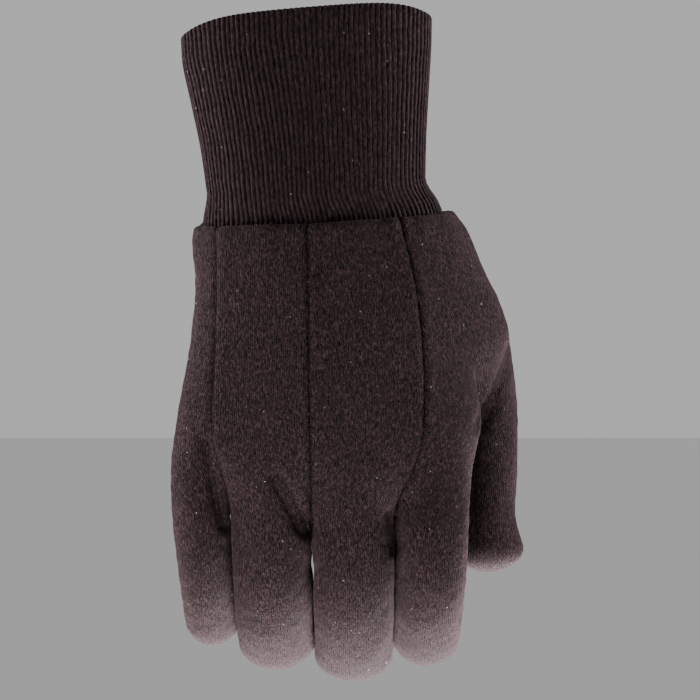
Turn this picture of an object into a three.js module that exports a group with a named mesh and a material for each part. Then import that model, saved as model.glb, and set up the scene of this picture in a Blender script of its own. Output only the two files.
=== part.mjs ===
import * as THREE from 'three';

// Cotton work glove for the right hand, in its worn shape and hanging fingers down.
// Millimetres. The origin is the centre of the cuff's mouth and +Z points out of it.
// The back of the hand faces -Y, the palm faces +Y and the thumb lies toward +X.

// Driving sizes
const cuffLength = 77;       // mouth to the hand seam
const cuffWidth = 96;        // across the cuff's mouth
const cuffDepth = 46;        // back to palm at the cuff's mouth
const palmLength = 119;      // hand seam to the crotches of the fingers
const handWidth = 115;       // across the knuckles, without the thumb
const handDepth = 38;        // back to palm at the knuckles
const fingerDepth = 25.6;    // back to front of a finger
const fingerGap = 0.8;       // daylight between neighbouring fingers
const indexLength = 69;      // each finger's length along its bend, from the crotch
const middleLength = 75;
const ringLength = 71;
const littleLength = 62;
const thumbLength = 62;      // from the thumb's crotch
const thumbWidth = 31;
const jerseyWall = 1.6;      // thickness of the hand's cloth
const ribWall = 2.2;         // thickness of the knitted cuff
const seamGap = 0.3;         // between two panels sewn together
const tuckLength = 5;        // cuff that runs on inside the hand
const tuckGap = 0.6;         // between the cuff and the hand's cloth around it
const ribCount = 112;
const ribHeight = 0.7;       // from groove to crest

// Sections of the hand from the cuff seam down.
// down: share of palmLength. little and thumb: where the hand ends on the little finger's side
// and on the thumb's, shares of handWidth; index: where it ends when the thumb is left out.
// back and palm: depth to each side, shares of handDepth. bend: how far forward the thumb's
// side lies, share of handDepth.
const handSections = [
  { down: 0.00, little: -0.379, thumb: 0.461, index: 0.461, back: 0.56, palm: 0.56, bend: 0.04 },
  { down: 0.04, little: -0.393, thumb: 0.507, index: 0.507, back: 0.57, palm: 0.58, bend: 0.08 },
  { down: 0.10, little: -0.396, thumb: 0.540, index: 0.540, back: 0.56, palm: 0.60, bend: 0.13 },
  { down: 0.20, little: -0.385, thumb: 0.585, index: 0.585, back: 0.55, palm: 0.61, bend: 0.22 },
  { down: 0.35, little: -0.397, thumb: 0.658, index: 0.655, back: 0.53, palm: 0.60, bend: 0.36 },
  { down: 0.50, little: -0.418, thumb: 0.686, index: 0.676, back: 0.51, palm: 0.56, bend: 0.52 },
  { down: 0.60, little: -0.433, thumb: 0.693, index: 0.625, back: 0.50, palm: 0.53, bend: 0.62 },
  { down: 0.70, little: -0.447, thumb: 0.700, index: 0.578, back: 0.48, palm: 0.47, bend: 0.68 },
  { down: 0.85, little: -0.469, thumb: 0.710, index: 0.550, back: 0.45, palm: 0.42, bend: 0.68 },
  { down: 1.00, little: -0.471, thumb: 0.710, index: 0.537, back: 0.40, palm: 0.39, bend: 0.68 },
];

// Lines down the back and the palm, each on the little finger's side of the digit it is named
// after: distances across, shares of handWidth. The back's are the seams of its strips, but for
// the thumb's. The palm's thumb line is the seam of the thumb panel; the rest part the fingers.
const backLines = [
  { down: 0.00, thumb: 0.374, index: 0.300, middle: -0.010, ring: -0.313 },
  { down: 0.20, thumb: 0.452, index: 0.350, middle: -0.005, ring: -0.313 },
  { down: 0.40, thumb: 0.530, index: 0.376, middle: -0.003, ring: -0.317 },
  { down: 0.60, thumb: 0.580, index: 0.382, middle: 0.000, ring: -0.326 },
  { down: 0.80, thumb: 0.580, index: 0.366, middle: 0.003, ring: -0.322 },
  { down: 1.00, thumb: 0.580, index: 0.284, middle: 0.005, ring: -0.270 },
];
const palmLines = [
  { down: 0.00, thumb: 0.163, index: 0.026, middle: -0.113, ring: -0.243 },
  { down: 0.20, thumb: 0.165, index: 0.043, middle: -0.096, ring: -0.243 },
  { down: 0.40, thumb: 0.168, index: 0.078, middle: -0.070, ring: -0.248 },
  { down: 0.50, thumb: 0.225, index: 0.115, middle: -0.052, ring: -0.252 },
  { down: 0.60, thumb: 0.372, index: 0.175, middle: -0.035, ring: -0.257 },
  { down: 0.70, thumb: 0.475, index: 0.228, middle: -0.020, ring: -0.262 },
  { down: 1.00, thumb: 0.470, index: 0.284, middle: 0.005, ring: -0.270 },
];

// How far down each line and each side of the hand ends, shares of palmLength. The thumb's
// crotch comes first, at thumbCrotch of the way down.
const lineEnds = { side: 0.96, thumb: 1.005, index: 1.00, middle: 1.015, ring: 0.965, little: 0.95 };
const thumbCrotch = 0.675;
const crotchTurn = THREE.MathUtils.degToRad(26);    // the crotch's place round the hand's side
const thumbTurn = THREE.MathUtils.degToRad(48);     // and round the thumb's, toward its back

// The digits' tubes, from the thumb to the little finger. length: along the bend. x and tipX:
// centre across at the base and the tip, shares of handWidth. y: centre in depth at the base,
// share of handDepth. depth: share of fingerDepth. taper: size at the tip as a share of the
// base's. curl: bend at the tip in degrees. rise: how much further back the ends of the tip's
// seam lie than its middle.
const digits = [
  { length: thumbLength, x: 0.574, tipX: 0.596, y: 0.71, depth: 0.98, taper: 0.98, curl: 14, rise: 4 },
  { length: indexLength, x: 0.4105, tipX: 0.390, y: 0, depth: 1.00, taper: 0.92, curl: 74, rise: 2.2 },
  { length: middleLength, x: 0.1445, tipX: 0.146, y: 0, depth: 1.03, taper: 0.93, curl: 72, rise: 2.2 },
  { length: ringLength, x: -0.1325, tipX: -0.111, y: 0, depth: 1.00, taper: 0.94, curl: 70, rise: 2 },
  { length: littleLength, x: -0.3705, tipX: -0.332, y: 0, depth: 0.88, taper: 0.90, curl: 60, rise: 1.8 },
];
const tipRound = 13;         // length over which a tip rounds off
const tipSeam = 0.62;        // width of a tip's seam, share of the digit's
const slantFade = 3;         // power by which the slant of a digit's base fades along it

// The thumb's outer side is drawn in above its tip and swells out at it. down: share of
// thumbLength, out: how far it stands out, share of thumbWidth.
const thumbSide = [
  { down: 0.00, out: 0 },
  { down: 0.35, out: -0.025 },
  { down: 0.58, out: -0.075 },
  { down: 0.72, out: -0.040 },
  { down: 0.86, out: 0.055 },
  { down: 1.00, out: 0.060 },
];

// Folds of the palm where the worn glove bends: a trough from one point to another. x: shares
// of handWidth, down: shares of palmLength, depth and width: shares of handDepth.
const palmFolds = [
  { x: 0.430, down: 0.70, endX: 0.225, endDown: 0.90, depth: 0.11, width: 0.17 },
  { x: 0.225, down: 0.90, endX: 0.280, endDown: 1.03, depth: 0.09, width: 0.15 },
  { x: 0.130, down: 0.80, endX: 0.015, endDown: 1.03, depth: 0.10, width: 0.16 },
  { x: -0.150, down: 0.86, endX: -0.240, endDown: 1.00, depth: 0.07, width: 0.13 },
];

// Sections of the cuff from the mouth to the hand seam, as shares of cuffWidth and cuffDepth
const cuffSections = [
  { down: 0.00, little: -0.520, thumb: 0.484, back: 0.50, palm: 0.50 },
  { down: 0.15, little: -0.512, thumb: 0.482, back: 0.49, palm: 0.49 },
  { down: 0.35, little: -0.478, thumb: 0.475, back: 0.47, palm: 0.47 },
  { down: 0.60, little: -0.436, thumb: 0.467, back: 0.45, palm: 0.45 },
  { down: 0.84, little: -0.410, thumb: 0.464, back: 0.44, palm: 0.44 },
];

// The cut edge of the cuff's mouth: level at the sides, higher by tilt toward the thumb, and
// risen across the back and the palm. flat: powers that keep the rise level across the middle.
const rim = { level: -4.2, tilt: 4, backRise: 5.4, backFlat: 5, palmRise: 5.0, palmFlat: 3 };
const rimRibs = 0.3;         // share of the ribs' height that is left at the cut edge
const seamTilt = 3;          // how much higher the hand seam lies on the thumb's side
const seamSwing = 3.5;       // how much higher it lies on the palm, and lower on the back

// Grid counts
const segments = 6;          // across one digit's back or front
const handRows = [0, 0.03, 0.075, 0.15, 0.25, 0.35, 0.45, 0.54, 0.61, thumbCrotch, 0.76, 0.84, 0.92, 1];
const shaftRows = [0.07, 0.25, 0.44, 0.63, 0.82, 1];   // shares of a digit above its rounded tip
const tipRows = 4;

// Value of one column of a table at a share down, on a smooth curve through its rows.
function follow(table, column, down) {
  const last = table.length - 1;
  let row = 0;
  while (row < last - 1 && down > table[row + 1].down) {
    row += 1;
  }
  const slope = (index) => {
    const before = table[Math.max(index - 1, 0)];
    const after = table[Math.min(index + 1, last)];
    return (after[column] - before[column]) / (after.down - before.down);
  };
  const span = table[row + 1].down - table[row].down;
  const t = THREE.MathUtils.clamp((down - table[row].down) / span, 0, 1);
  const t2 = t * t;
  const t3 = t2 * t;
  return (2 * t3 - 3 * t2 + 1) * table[row][column]
    + (t3 - 2 * t2 + t) * span * slope(row)
    + (3 * t2 - 2 * t3) * table[row + 1][column]
    + (t3 - t2) * span * slope(row + 1);
}

// Point on an oval section. angle 0 is the thumb's side, a quarter turn the middle of the
// back or the palm, and half a turn the little finger's side. Below 0 or past half a turn it
// goes on round the other side.
const fullness = 0.82;       // below 1 makes the section boxier than an ellipse
function roundness(angle) {
  return Math.sign(Math.sin(angle)) * Math.abs(Math.sin(angle)) ** fullness;
}
function ovalPoint(section, angle, side) {
  const centre = (section.thumb + section.little) / 2;
  const halfWidth = (section.thumb - section.little) / 2;
  const across = Math.cos(angle);
  const backward = roundness(angle) * (side === 'back' ? 1 : -1);
  const depth = backward > 0 ? section.back : section.palm;
  const forward = section.bend * Math.max(0, across) ** 2;
  return [centre + halfWidth * across, forward - depth * backward];
}

// Size in millimetres of the hand's section at a share down; outer names its thumb-side column.
function handSection(down, outer) {
  return {
    little: handWidth * follow(handSections, 'little', down),
    thumb: handWidth * follow(handSections, outer, down),
    back: handDepth * follow(handSections, 'back', down),
    palm: handDepth * follow(handSections, 'palm', down),
    bend: handDepth * follow(handSections, 'bend', down) * (outer === 'thumb' ? 1 : 0),
  };
}

// Angle on a section at which it is a given distance across.
function angleAt(section, x) {
  const centre = (section.thumb + section.little) / 2;
  const halfWidth = (section.thumb - section.little) / 2;
  return Math.acos(THREE.MathUtils.clamp((x - centre) / halfWidth, -1, 1));
}

// Height of the seam between the cuff and the hand at an angle on the section.
function seamHeight(angle, side) {
  const swing = side === 'back' ? -seamSwing : seamSwing;
  return -cuffLength + seamTilt * Math.cos(angle) + swing * Math.sin(angle);
}

const lineNames = ['side', 'thumb', 'index', 'middle', 'ring', 'little'];

// Angle of a numbered line: 0 is the thumb's outer side, 5 the little finger's side, and
// 1 to 4 lie between the digits. outer is 'index' where the thumb no longer belongs to the hand.
function lineAngle(line, down, side, outer) {
  if (line === 5) {
    return Math.PI;
  }
  if (line === 0) {
    return 0;
  }
  if (line === 1 && outer === 'index') {
    return indexTurn(down) * (side === 'back' ? -1 : 1);
  }
  const table = side === 'back' ? backLines : palmLines;
  return angleAt(handSection(down, outer), handWidth * follow(table, lineNames[line], down));
}

// The thumb parts from the palm's side of the index finger: how far round the palm that line
// lies at a share down. Below the crotch it comes back to the finger's side.
function indexTurn(down) {
  return crotchTurn * THREE.MathUtils.clamp((1 - down) / (1 - thumbCrotch), 0, 1);
}

// Height of a numbered line at a share down. The back's line and the palm's start at different
// heights and come together where they meet at a crotch.
function lineHeight(line, down, side) {
  const lift = seamHeight(lineAngle(line, 0, side, 'thumb'), side) + cuffLength;
  const meets = line === 1 ? thumbCrotch : 1;
  const level = -cuffLength - palmLength * lineEnds[lineNames[line]] * down;
  return level + lift * Math.max(0, 1 - down / meets);
}

// Height across one digit's column of the hand.
function rowHeight(column, down, share, side) {
  return THREE.MathUtils.lerp(lineHeight(column, down, side), lineHeight(column + 1, down, side), share);
}

// Half the width of a digit at its base.
function baseHalfWidth(column) {
  if (column === 0) {
    return thumbWidth / 2;
  }
  const near = column === 1 ? follow(handSections, 'index', 1) : follow(backLines, lineNames[column], 1);
  const far = column === 4 ? follow(handSections, 'little', 1) : follow(backLines, lineNames[column + 1], 1);
  return (handWidth * (near - far) - fingerGap) / 2;
}

// Point of a digit's tube. along: share of its length, share: across from the thumb's side to
// the little finger's, shrink: how far the rounded tip has closed, 0 to 1.
function tubePoint(column, along, share, side, shrink) {
  const digit = digits[column];
  const bend = THREE.MathUtils.degToRad(digit.curl);
  const angle = bend * along;
  const base = column === 0 ? thumbCrotch : 1;
  const top = (lineHeight(column, base, side) + lineHeight(column + 1, base, side)) / 2;
  const x = handWidth * THREE.MathUtils.lerp(digit.x, digit.tipX, along);
  const y = handDepth * digit.y + digit.length * (1 - Math.cos(angle)) / bend;
  const z = top - digit.length * Math.sin(angle) / bend;
  const taper = THREE.MathUtils.lerp(1, digit.taper, along);
  const width = baseHalfWidth(column) * taper * Math.sqrt(1 - (1 - tipSeam ** 2) * shrink ** 2);
  const depth = fingerDepth / 2 * digit.depth * taper * Math.sqrt(Math.max(0, 1 - shrink ** 2));
  const isThumb = column === 0;
  const turned = isThumb ? thumbTurn * (1 - along) ** 2 : 0;
  const round = share * (side === 'back' ? Math.PI - turned : Math.PI + turned);
  const across = Math.cos(round);
  const out = (side === 'back' ? depth : -depth) * roundness(round);
  const slant = (0.5 - share) * (lineHeight(column, base, side) - lineHeight(column + 1, base, side));
  const swell = isThumb ? thumbWidth * follow(thumbSide, 'out', along) * Math.max(0, across) : 0;
  const rise = digit.rise * (across * shrink) ** 2;
  return [
    x + width * across + swell,
    y - out * Math.cos(angle) - rise * Math.sin(angle),
    z - out * Math.sin(angle) + rise * Math.cos(angle) + slant * (1 - along) ** slantFade,
  ];
}

// Where the two digits beside a line meet, in x and y.
function crotchPoint(line) {
  const near = line === 1 ? indexSide(thumbCrotch) : tubePoint(line, 0, 0, 'back', 0);
  const far = tubePoint(line - 1, 0, 1, 'back', 0);
  return [(near[0] + far[0]) / 2, (near[1] + far[1]) / 2];
}

// The line beside the thumb on the hand with the thumb left out, at a share down.
function indexSide(down) {
  return ovalPoint(handSection(down, 'index'), -indexTurn(down), 'back');
}

// How much a digit's side is drawn to the crotch it shares, fading across and along it.
const crotchReach = 12;      // length over which a side leaves the crotch
const crotchPull = 4;        // power that keeps the pull close to the side
function drawToCrotch(point, from, line, share, fade) {
  const crotch = crotchPoint(line);
  const pull = share ** crotchPull * fade;
  return [point[0] + (crotch[0] - from[0]) * pull, point[1] + (crotch[1] - from[1]) * pull, point[2]];
}

// Point of a digit, with its sides drawn to their crotches.
function digitPoint(column, along, share, side, shrink) {
  const fade = Math.max(0, 1 - along * digits[column].length / crotchReach) ** 2;
  let point = tubePoint(column, along, share, side, shrink);
  if (column > 1) {
    point = drawToCrotch(point, tubePoint(column, 0, 0, 'back', 0), column, 1 - share, fade);
  }
  if (column < 4) {
    point = drawToCrotch(point, tubePoint(column, 0, 1, 'back', 0), column + 1, share, fade);
  }
  return point;
}

// Share of the way from one row to another, starting slowly.
const easePower = 2.1;
function ease(down, start, end) {
  return THREE.MathUtils.clamp((down - start) / (end - start), 0, 1) ** easePower;
}

// How deep the palm's folds press a point in.
function foldDepth(x, down) {
  let deepest = 0;
  for (const fold of palmFolds) {
    const start = new THREE.Vector2(fold.x * handWidth, fold.down * palmLength);
    const run = new THREE.Vector2(fold.endX * handWidth, fold.endDown * palmLength).sub(start);
    const here = new THREE.Vector2(x, down * palmLength).sub(start);
    const share = THREE.MathUtils.clamp(here.dot(run) / run.lengthSq(), 0, 1);
    const away = here.sub(run.multiplyScalar(share)).length() / (fold.width * handDepth);
    deepest = Math.max(deepest, fold.depth * handDepth * Math.exp(-(away ** 2)));
  }
  return deepest;
}

// Point of the hand, from the cuff seam to the crotches.
const thumbParts = 0.40;     // share down where the thumb begins to part from the hand
const fingersPart = 0.66;    // share down where the fingers begin to part
const foldsBegin = 0.4;      // share across the index strip by which the palm's folds are whole
function handPoint(column, down, share, side) {
  const height = rowHeight(column, down, share, side);
  const angleBetween = (outer) => THREE.MathUtils.lerp(
    lineAngle(column, down, side, outer),
    lineAngle(column + 1, down, side, outer),
    share,
  );
  const whole = ovalPoint(handSection(down, 'thumb'), angleBetween('thumb'), side);
  const thumbAway = ease(down, thumbParts, thumbCrotch);
  if (column === 0) {
    const thumb = digitPoint(0, 0, share, side, 0);
    return [
      THREE.MathUtils.lerp(whole[0], thumb[0], thumbAway),
      THREE.MathUtils.lerp(whole[1], thumb[1], thumbAway),
      height,
    ];
  }
  let four = [...ovalPoint(handSection(down, 'index'), angleBetween('index'), side), height];
  if (column === 1) {
    const below = Math.max(0, down - thumbCrotch) * palmLength;
    const fade = Math.max(0, 1 - below / crotchReach) ** 2;
    four = drawToCrotch(four, indexSide(Math.min(down, thumbCrotch)), 1, 1 - share, fade);
  }
  const finger = digitPoint(column, 0, share, side, 0);
  const fingerAway = ease(down, fingersPart, 1);
  const x = THREE.MathUtils.lerp(whole[0], four[0], thumbAway);
  const fromThumb = column === 1 ? THREE.MathUtils.smoothstep(share, 0, foldsBegin) : 1;
  const fold = side === 'palm' ? foldDepth(x, down) * Math.sin(angleBetween('index')) * fromThumb : 0;
  const y = THREE.MathUtils.lerp(whole[1], four[1], thumbAway) - fold;
  return [
    THREE.MathUtils.lerp(x, finger[0], fingerAway),
    THREE.MathUtils.lerp(y, finger[1], fingerAway),
    height,
  ];
}

// Rows of points of one digit's back or front. part: 'hand' is from the cuff seam to just below
// the crotch, 'digit' from there to the tip, and 'whole' both.
function strip(column, side, part) {
  const rows = [];
  const across = (make) => rows.push(Array.from({ length: segments + 1 }, (_, i) => make(i / segments)));
  const end = column === 0 ? thumbCrotch : 1;
  for (const down of handRows) {
    if (down <= end) {
      across((share) => handPoint(column, down, share, side));
    }
  }
  const parting = rows.length;
  const digit = digits[column];
  const shaft = 1 - tipRound / digit.length;
  for (const row of shaftRows) {
    across((share) => digitPoint(column, shaft * row, share, side, 0));
  }
  for (let row = 1; row <= tipRows; row += 1) {
    const shrink = Math.sin(Math.PI / 2 * row / tipRows);
    across((share) => digitPoint(column, shaft + (1 - shaft) * shrink, share, side, shrink));
  }
  const first = part === 'digit' ? parting : 0;
  const last = part === 'hand' ? parting : rows.length - 1;
  return rows.slice(first, last + 1);
}

// The cloth's outer surface: one list of points, shared where strips meet, and the faces of
// each panel.
const points = [];
const pointNumbers = new Map();
function numberOf(point) {
  const key = point.map((value) => Math.round(value * 1e5)).join();
  if (!pointNumbers.has(key)) {
    pointNumbers.set(key, points.length);
    points.push(new THREE.Vector3(...point));
  }
  return pointNumbers.get(key);
}

function panelFaces(strips) {
  const faces = [];
  for (const [column, side, part] of strips) {
    const rows = strip(column, side, part).map((row) => row.map(numberOf));
    for (let i = 0; i + 1 < rows.length; i += 1) {
      for (let j = 0; j < segments; j += 1) {
        const [a, b, c, d] = [rows[i][j], rows[i][j + 1], rows[i + 1][j + 1], rows[i + 1][j]];
        const quad = side === 'back' ? [[a, b, c], [a, c, d]] : [[a, c, b], [a, d, c]];
        faces.push(...quad.filter(([p, q, r]) => p !== q && q !== r && r !== p));
      }
    }
  }
  return faces;
}

// Unit normals of the shared points, from all faces round each.
function pointNormals(allFaces) {
  const normals = points.map(() => new THREE.Vector3());
  for (const [a, b, c] of allFaces) {
    const ab = points[b].clone().sub(points[a]);
    const ac = points[c].clone().sub(points[a]);
    const normal = ab.cross(ac);
    for (const corner of [a, b, c]) {
      normals[corner].add(normal);
    }
  }
  return normals.map((normal) => normal.normalize());
}

// Edges that only one face of a panel uses, each as it runs in that face, with the face.
function openEdges(faces) {
  const edges = new Map();
  for (const face of faces) {
    for (let i = 0; i < 3; i += 1) {
      const [from, to] = [face[i], face[(i + 1) % 3]];
      const back = `${to},${from}`;
      if (edges.has(back)) {
        edges.delete(back);
      } else {
        edges.set(`${from},${to}`, { from, to, face });
      }
    }
  }
  return [...edges.values()];
}

// How far each point on a panel's edge moves into the panel, to leave half the seam's gap.
const sharpestCorner = 0.5;  // at most this sine of half a corner's turn sets its longer move
function edgeShifts(edges) {
  const shifts = new Map();
  for (const { from, to, face } of edges) {
    const [a, b, c] = face.map((corner) => points[corner]);
    const normal = b.clone().sub(a).cross(c.clone().sub(a));
    const inward = normal.cross(points[to].clone().sub(points[from])).normalize();
    for (const corner of [from, to]) {
      if (!shifts.has(corner)) {
        shifts.set(corner, new THREE.Vector3());
      }
      shifts.get(corner).add(inward);
    }
  }
  for (const shift of shifts.values()) {
    const reach = Math.max(shift.length() / 2, sharpestCorner);
    shift.normalize().multiplyScalar(seamGap / 2 / reach);
  }
  return shifts;
}

function closedGeometry(positions, faces) {
  const geometry = new THREE.BufferGeometry();
  geometry.setAttribute('position', new THREE.Float32BufferAttribute(positions.flat(), 3));
  geometry.setIndex(faces.flat());
  geometry.computeVertexNormals();
  return geometry;
}

// A panel of cloth: its outer faces, the same faces one wall further in, and its cut edges.
function panelGeometry(faces, normals) {
  const edges = openEdges(faces);
  const shifts = edgeShifts(edges);
  const used = [...new Set(faces.flat())];
  const local = new Map(used.map((number, index) => [number, index]));
  const count = used.length;
  const layer = (depth) => used.map((number) => {
    const point = points[number].clone().addScaledVector(normals[number], -depth);
    return (shifts.has(number) ? point.add(shifts.get(number)) : point).toArray();
  });
  const outer = faces.map((face) => face.map((number) => local.get(number)));
  const inner = outer.map(([a, b, c]) => [a + count, c + count, b + count]);
  // The cut edges of two neighbours are split along the same diagonal, so that they stay parallel.
  const rims = edges.flatMap(({ from, to }) => {
    const [a, b] = [local.get(from), local.get(to)];
    const along = [[b, a, a + count], [b, a + count, b + count]];
    const against = [[b, a, b + count], [a, a + count, b + count]];
    return from < to ? along : against;
  });
  return closedGeometry([...layer(0), ...layer(jerseyWall)], [...outer, ...inner, ...rims]);
}

// Section of the cuff at a share down. At the hand seam it fits inside the hand's top edge.
function cuffSection(down) {
  const top = handSection(0, 'thumb');
  const inset = jerseyWall + tuckGap + ribHeight / 2;
  const seat = {
    little: top.little + inset,
    thumb: top.thumb - inset,
    back: top.back - inset,
    palm: top.palm - inset,
    bend: top.bend,
  };
  const lowest = cuffSections[cuffSections.length - 1].down;
  const part = Math.min(down, lowest);
  const blend = THREE.MathUtils.smoothstep(down, lowest, 1);
  const own = {
    little: cuffWidth * follow(cuffSections, 'little', part),
    thumb: cuffWidth * follow(cuffSections, 'thumb', part),
    back: cuffDepth * follow(cuffSections, 'back', part),
    palm: cuffDepth * follow(cuffSections, 'palm', part),
    bend: 0,
  };
  const between = (name) => [name, THREE.MathUtils.lerp(own[name], seat[name], blend)];
  return Object.fromEntries(Object.keys(own).map(between));
}

// Height of the cuff's mouth at an angle on its section.
function rimHeight(angle, side) {
  const across = Math.cos(angle);
  const [rise, flat] = side === 'back' ? [rim.backRise, rim.backFlat] : [rim.palmRise, rim.palmFlat];
  return rim.level + rim.tilt * across + rise * (1 - Math.abs(across) ** flat);
}

// A closed loop of evenly spaced points round the cuff at a share down, moved out or in.
const ribSamples = 8;        // samples of the section to one rib
const normalReach = 2;       // samples to each side from which the outward direction is taken
function cuffLoop(down, count, offsetOf) {
  const section = cuffSection(Math.min(down, 1));
  const fine = ribCount * ribSamples;
  const at = (turn) => {
    const side = turn <= Math.PI ? 'back' : 'palm';
    const angle = turn <= Math.PI ? turn : 2 * Math.PI - turn;
    const [x, y] = ovalPoint(section, angle, side);
    const seam = seamHeight(angle, side);
    const tucked = seam - tuckLength * (down - 1);
    const z = down <= 1 ? THREE.MathUtils.lerp(rimHeight(angle, side), seam, down) : tucked;
    return new THREE.Vector3(x, y, z);
  };
  const samples = Array.from({ length: fine }, (_, i) => at(2 * Math.PI * i / fine));
  const lengths = [0];
  for (let i = 0; i < fine; i += 1) {
    const [here, next] = [samples[i], samples[(i + 1) % fine]];
    lengths.push(lengths[i] + Math.hypot(next.x - here.x, next.y - here.y));
  }
  const loop = [];
  let sample = 0;
  for (let i = 0; i < count; i += 1) {
    const wanted = lengths[fine] * i / count;
    while (lengths[sample + 1] < wanted) {
      sample += 1;
    }
    const [here, next] = [samples[sample], samples[(sample + 1) % fine]];
    const part = (wanted - lengths[sample]) / (lengths[sample + 1] - lengths[sample]);
    const point = here.clone().lerp(next, part);
    const before = samples[(sample + fine - normalReach) % fine];
    const after = samples[(sample + 1 + normalReach) % fine];
    const outward = new THREE.Vector3(-(after.y - before.y), after.x - before.x, 0).normalize();
    point.addScaledVector(outward, offsetOf(i));
    loop.push(point.toArray());
  }
  return loop;
}

// The knitted cuff: a ribbed outside, a plain inside and a band joining them at each end.
const cuffRows = [0, 0.02, 0.15, 0.35, 0.60, 0.80, 0.91, 1, 2];
const innerStep = 4;         // outer points to one inner point
function cuffGeometry() {
  const outerCount = ribCount * 2;
  const innerCount = outerCount / innerStep;
  const outerRows = cuffRows.map((down, row) => cuffLoop(down, outerCount, (i) => {
    const crest = (i % 2 === 0 ? 1 : -1) * ribHeight / 2;
    return row === 0 ? rimRibs * crest - ribHeight / 2 : crest;
  }));
  const innerRows = cuffRows.map((down) => cuffLoop(down, innerCount, () => -ribWall));
  const positions = [...outerRows.flat(), ...innerRows.flat()];
  const outerAt = (row, i) => row * outerCount + i % outerCount;
  const innerAt = (row, i) => outerRows.length * outerCount + row * innerCount + i % innerCount;
  const faces = [];
  const band = (at, count, row, facingOut) => {
    for (let i = 0; i < count; i += 1) {
      const [a, b, c, d] = [at(row, i), at(row, i + 1), at(row + 1, i + 1), at(row + 1, i)];
      faces.push(...(facingOut ? [[a, b, c], [a, c, d]] : [[a, c, b], [a, d, c]]));
    }
  };
  for (let row = 0; row + 1 < cuffRows.length; row += 1) {
    band(outerAt, outerCount, row, true);
    band(innerAt, innerCount, row, false);
  }
  const close = (row, top) => {
    for (let i = 0; i < innerCount; i += 1) {
      const middle = i * innerStep + innerStep / 2;
      const add = (a, b, c) => faces.push(top ? [a, c, b] : [a, b, c]);
      for (let k = 0; k < innerStep; k += 1) {
        const corner = innerAt(row, k < innerStep / 2 ? i : i + 1);
        add(outerAt(row, i * innerStep + k), outerAt(row, i * innerStep + k + 1), corner);
      }
      add(outerAt(row, middle), innerAt(row, i + 1), innerAt(row, i));
    }
  };
  close(0, true);
  close(cuffRows.length - 1, false);
  return closedGeometry(positions, faces);
}

// The panels as the seams divide the cloth, each from the strips it covers. The palm and the
// fronts of the four fingers are one cut of cloth, and are parted here below the crotches. The
// backs of the thumb and the index finger are one cut too, and are parted here between them.
const panels = {
  palm_panel: [[1, 'palm', 'hand'], [2, 'palm', 'hand'], [3, 'palm', 'hand'], [4, 'palm', 'hand']],
  front_index: [[1, 'palm', 'digit']],
  front_middle: [[2, 'palm', 'digit']],
  front_ring: [[3, 'palm', 'digit']],
  front_little: [[4, 'palm', 'digit']],
  thumb_panel: [[0, 'palm', 'whole']],
  back_thumb: [[0, 'back', 'whole']],
  back_index: [[1, 'back', 'whole']],
  back_middle: [[2, 'back', 'whole']],
  back_ring: [[3, 'back', 'whole']],
  back_little: [[4, 'back', 'whole']],
};

const glove = new THREE.Group();
function addPiece(name, geometry, colour) {
  const material = new THREE.MeshStandardMaterial({ color: colour, roughness: 0.95, metalness: 0 });
  const mesh = new THREE.Mesh(geometry, material);
  mesh.name = name;
  glove.add(mesh);
}

const jerseyColour = 0x3a2f2e;
const ribColour = 0x352a29;
const panelFaceLists = Object.entries(panels).map(([name, strips]) => [name, panelFaces(strips)]);
const normals = pointNormals(panelFaceLists.flatMap(([, faces]) => faces));
for (const [name, faces] of panelFaceLists) {
  addPiece(name, panelGeometry(faces, normals), jerseyColour);
}
addPiece('knit_wrist', cuffGeometry(), ribColour);

export default glove;
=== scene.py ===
"""Cotton work glove with a knit wrist, dressed as sewn jersey panels and a ribbed cuff.

Lengths are in millimetres until a mesh is made. The origin is the centre of the cuff's mouth,
+Z points out of it, the back of the hand faces -Y and the thumb lies toward +X.
"""

import math

import bpy
import numpy as np
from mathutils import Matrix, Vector


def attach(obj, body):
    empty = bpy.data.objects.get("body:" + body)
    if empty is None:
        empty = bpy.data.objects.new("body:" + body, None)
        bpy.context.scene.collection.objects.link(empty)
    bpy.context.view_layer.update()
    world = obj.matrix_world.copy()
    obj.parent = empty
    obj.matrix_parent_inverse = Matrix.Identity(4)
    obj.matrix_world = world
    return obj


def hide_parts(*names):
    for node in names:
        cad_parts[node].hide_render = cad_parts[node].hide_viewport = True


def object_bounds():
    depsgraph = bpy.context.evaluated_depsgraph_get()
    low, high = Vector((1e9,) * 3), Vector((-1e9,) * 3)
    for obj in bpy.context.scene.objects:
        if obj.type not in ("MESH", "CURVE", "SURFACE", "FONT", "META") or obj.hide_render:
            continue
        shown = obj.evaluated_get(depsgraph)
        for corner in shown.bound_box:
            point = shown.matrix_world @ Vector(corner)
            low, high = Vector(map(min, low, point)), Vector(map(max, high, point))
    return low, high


bl_info = {
    "name": "Cotton work glove",
    "version": (1, 0, 0),
    "blender": (4, 5, 0),
    "location": "3D View > Sidebar > Glove",
    "description": "Makes the panels, the knit wrist and the stage of a cotton work glove",
    "category": "Add Mesh",
}

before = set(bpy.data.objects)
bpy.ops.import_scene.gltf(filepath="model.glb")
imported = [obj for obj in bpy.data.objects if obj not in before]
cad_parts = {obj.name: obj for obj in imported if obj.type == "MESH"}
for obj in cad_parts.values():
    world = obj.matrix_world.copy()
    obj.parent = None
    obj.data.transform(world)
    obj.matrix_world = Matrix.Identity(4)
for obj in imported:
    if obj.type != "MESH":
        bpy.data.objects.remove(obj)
MODEL_BOX = [list(corner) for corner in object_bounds()]
MM = 0.001
BACK = 1
PALM = -1

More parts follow.
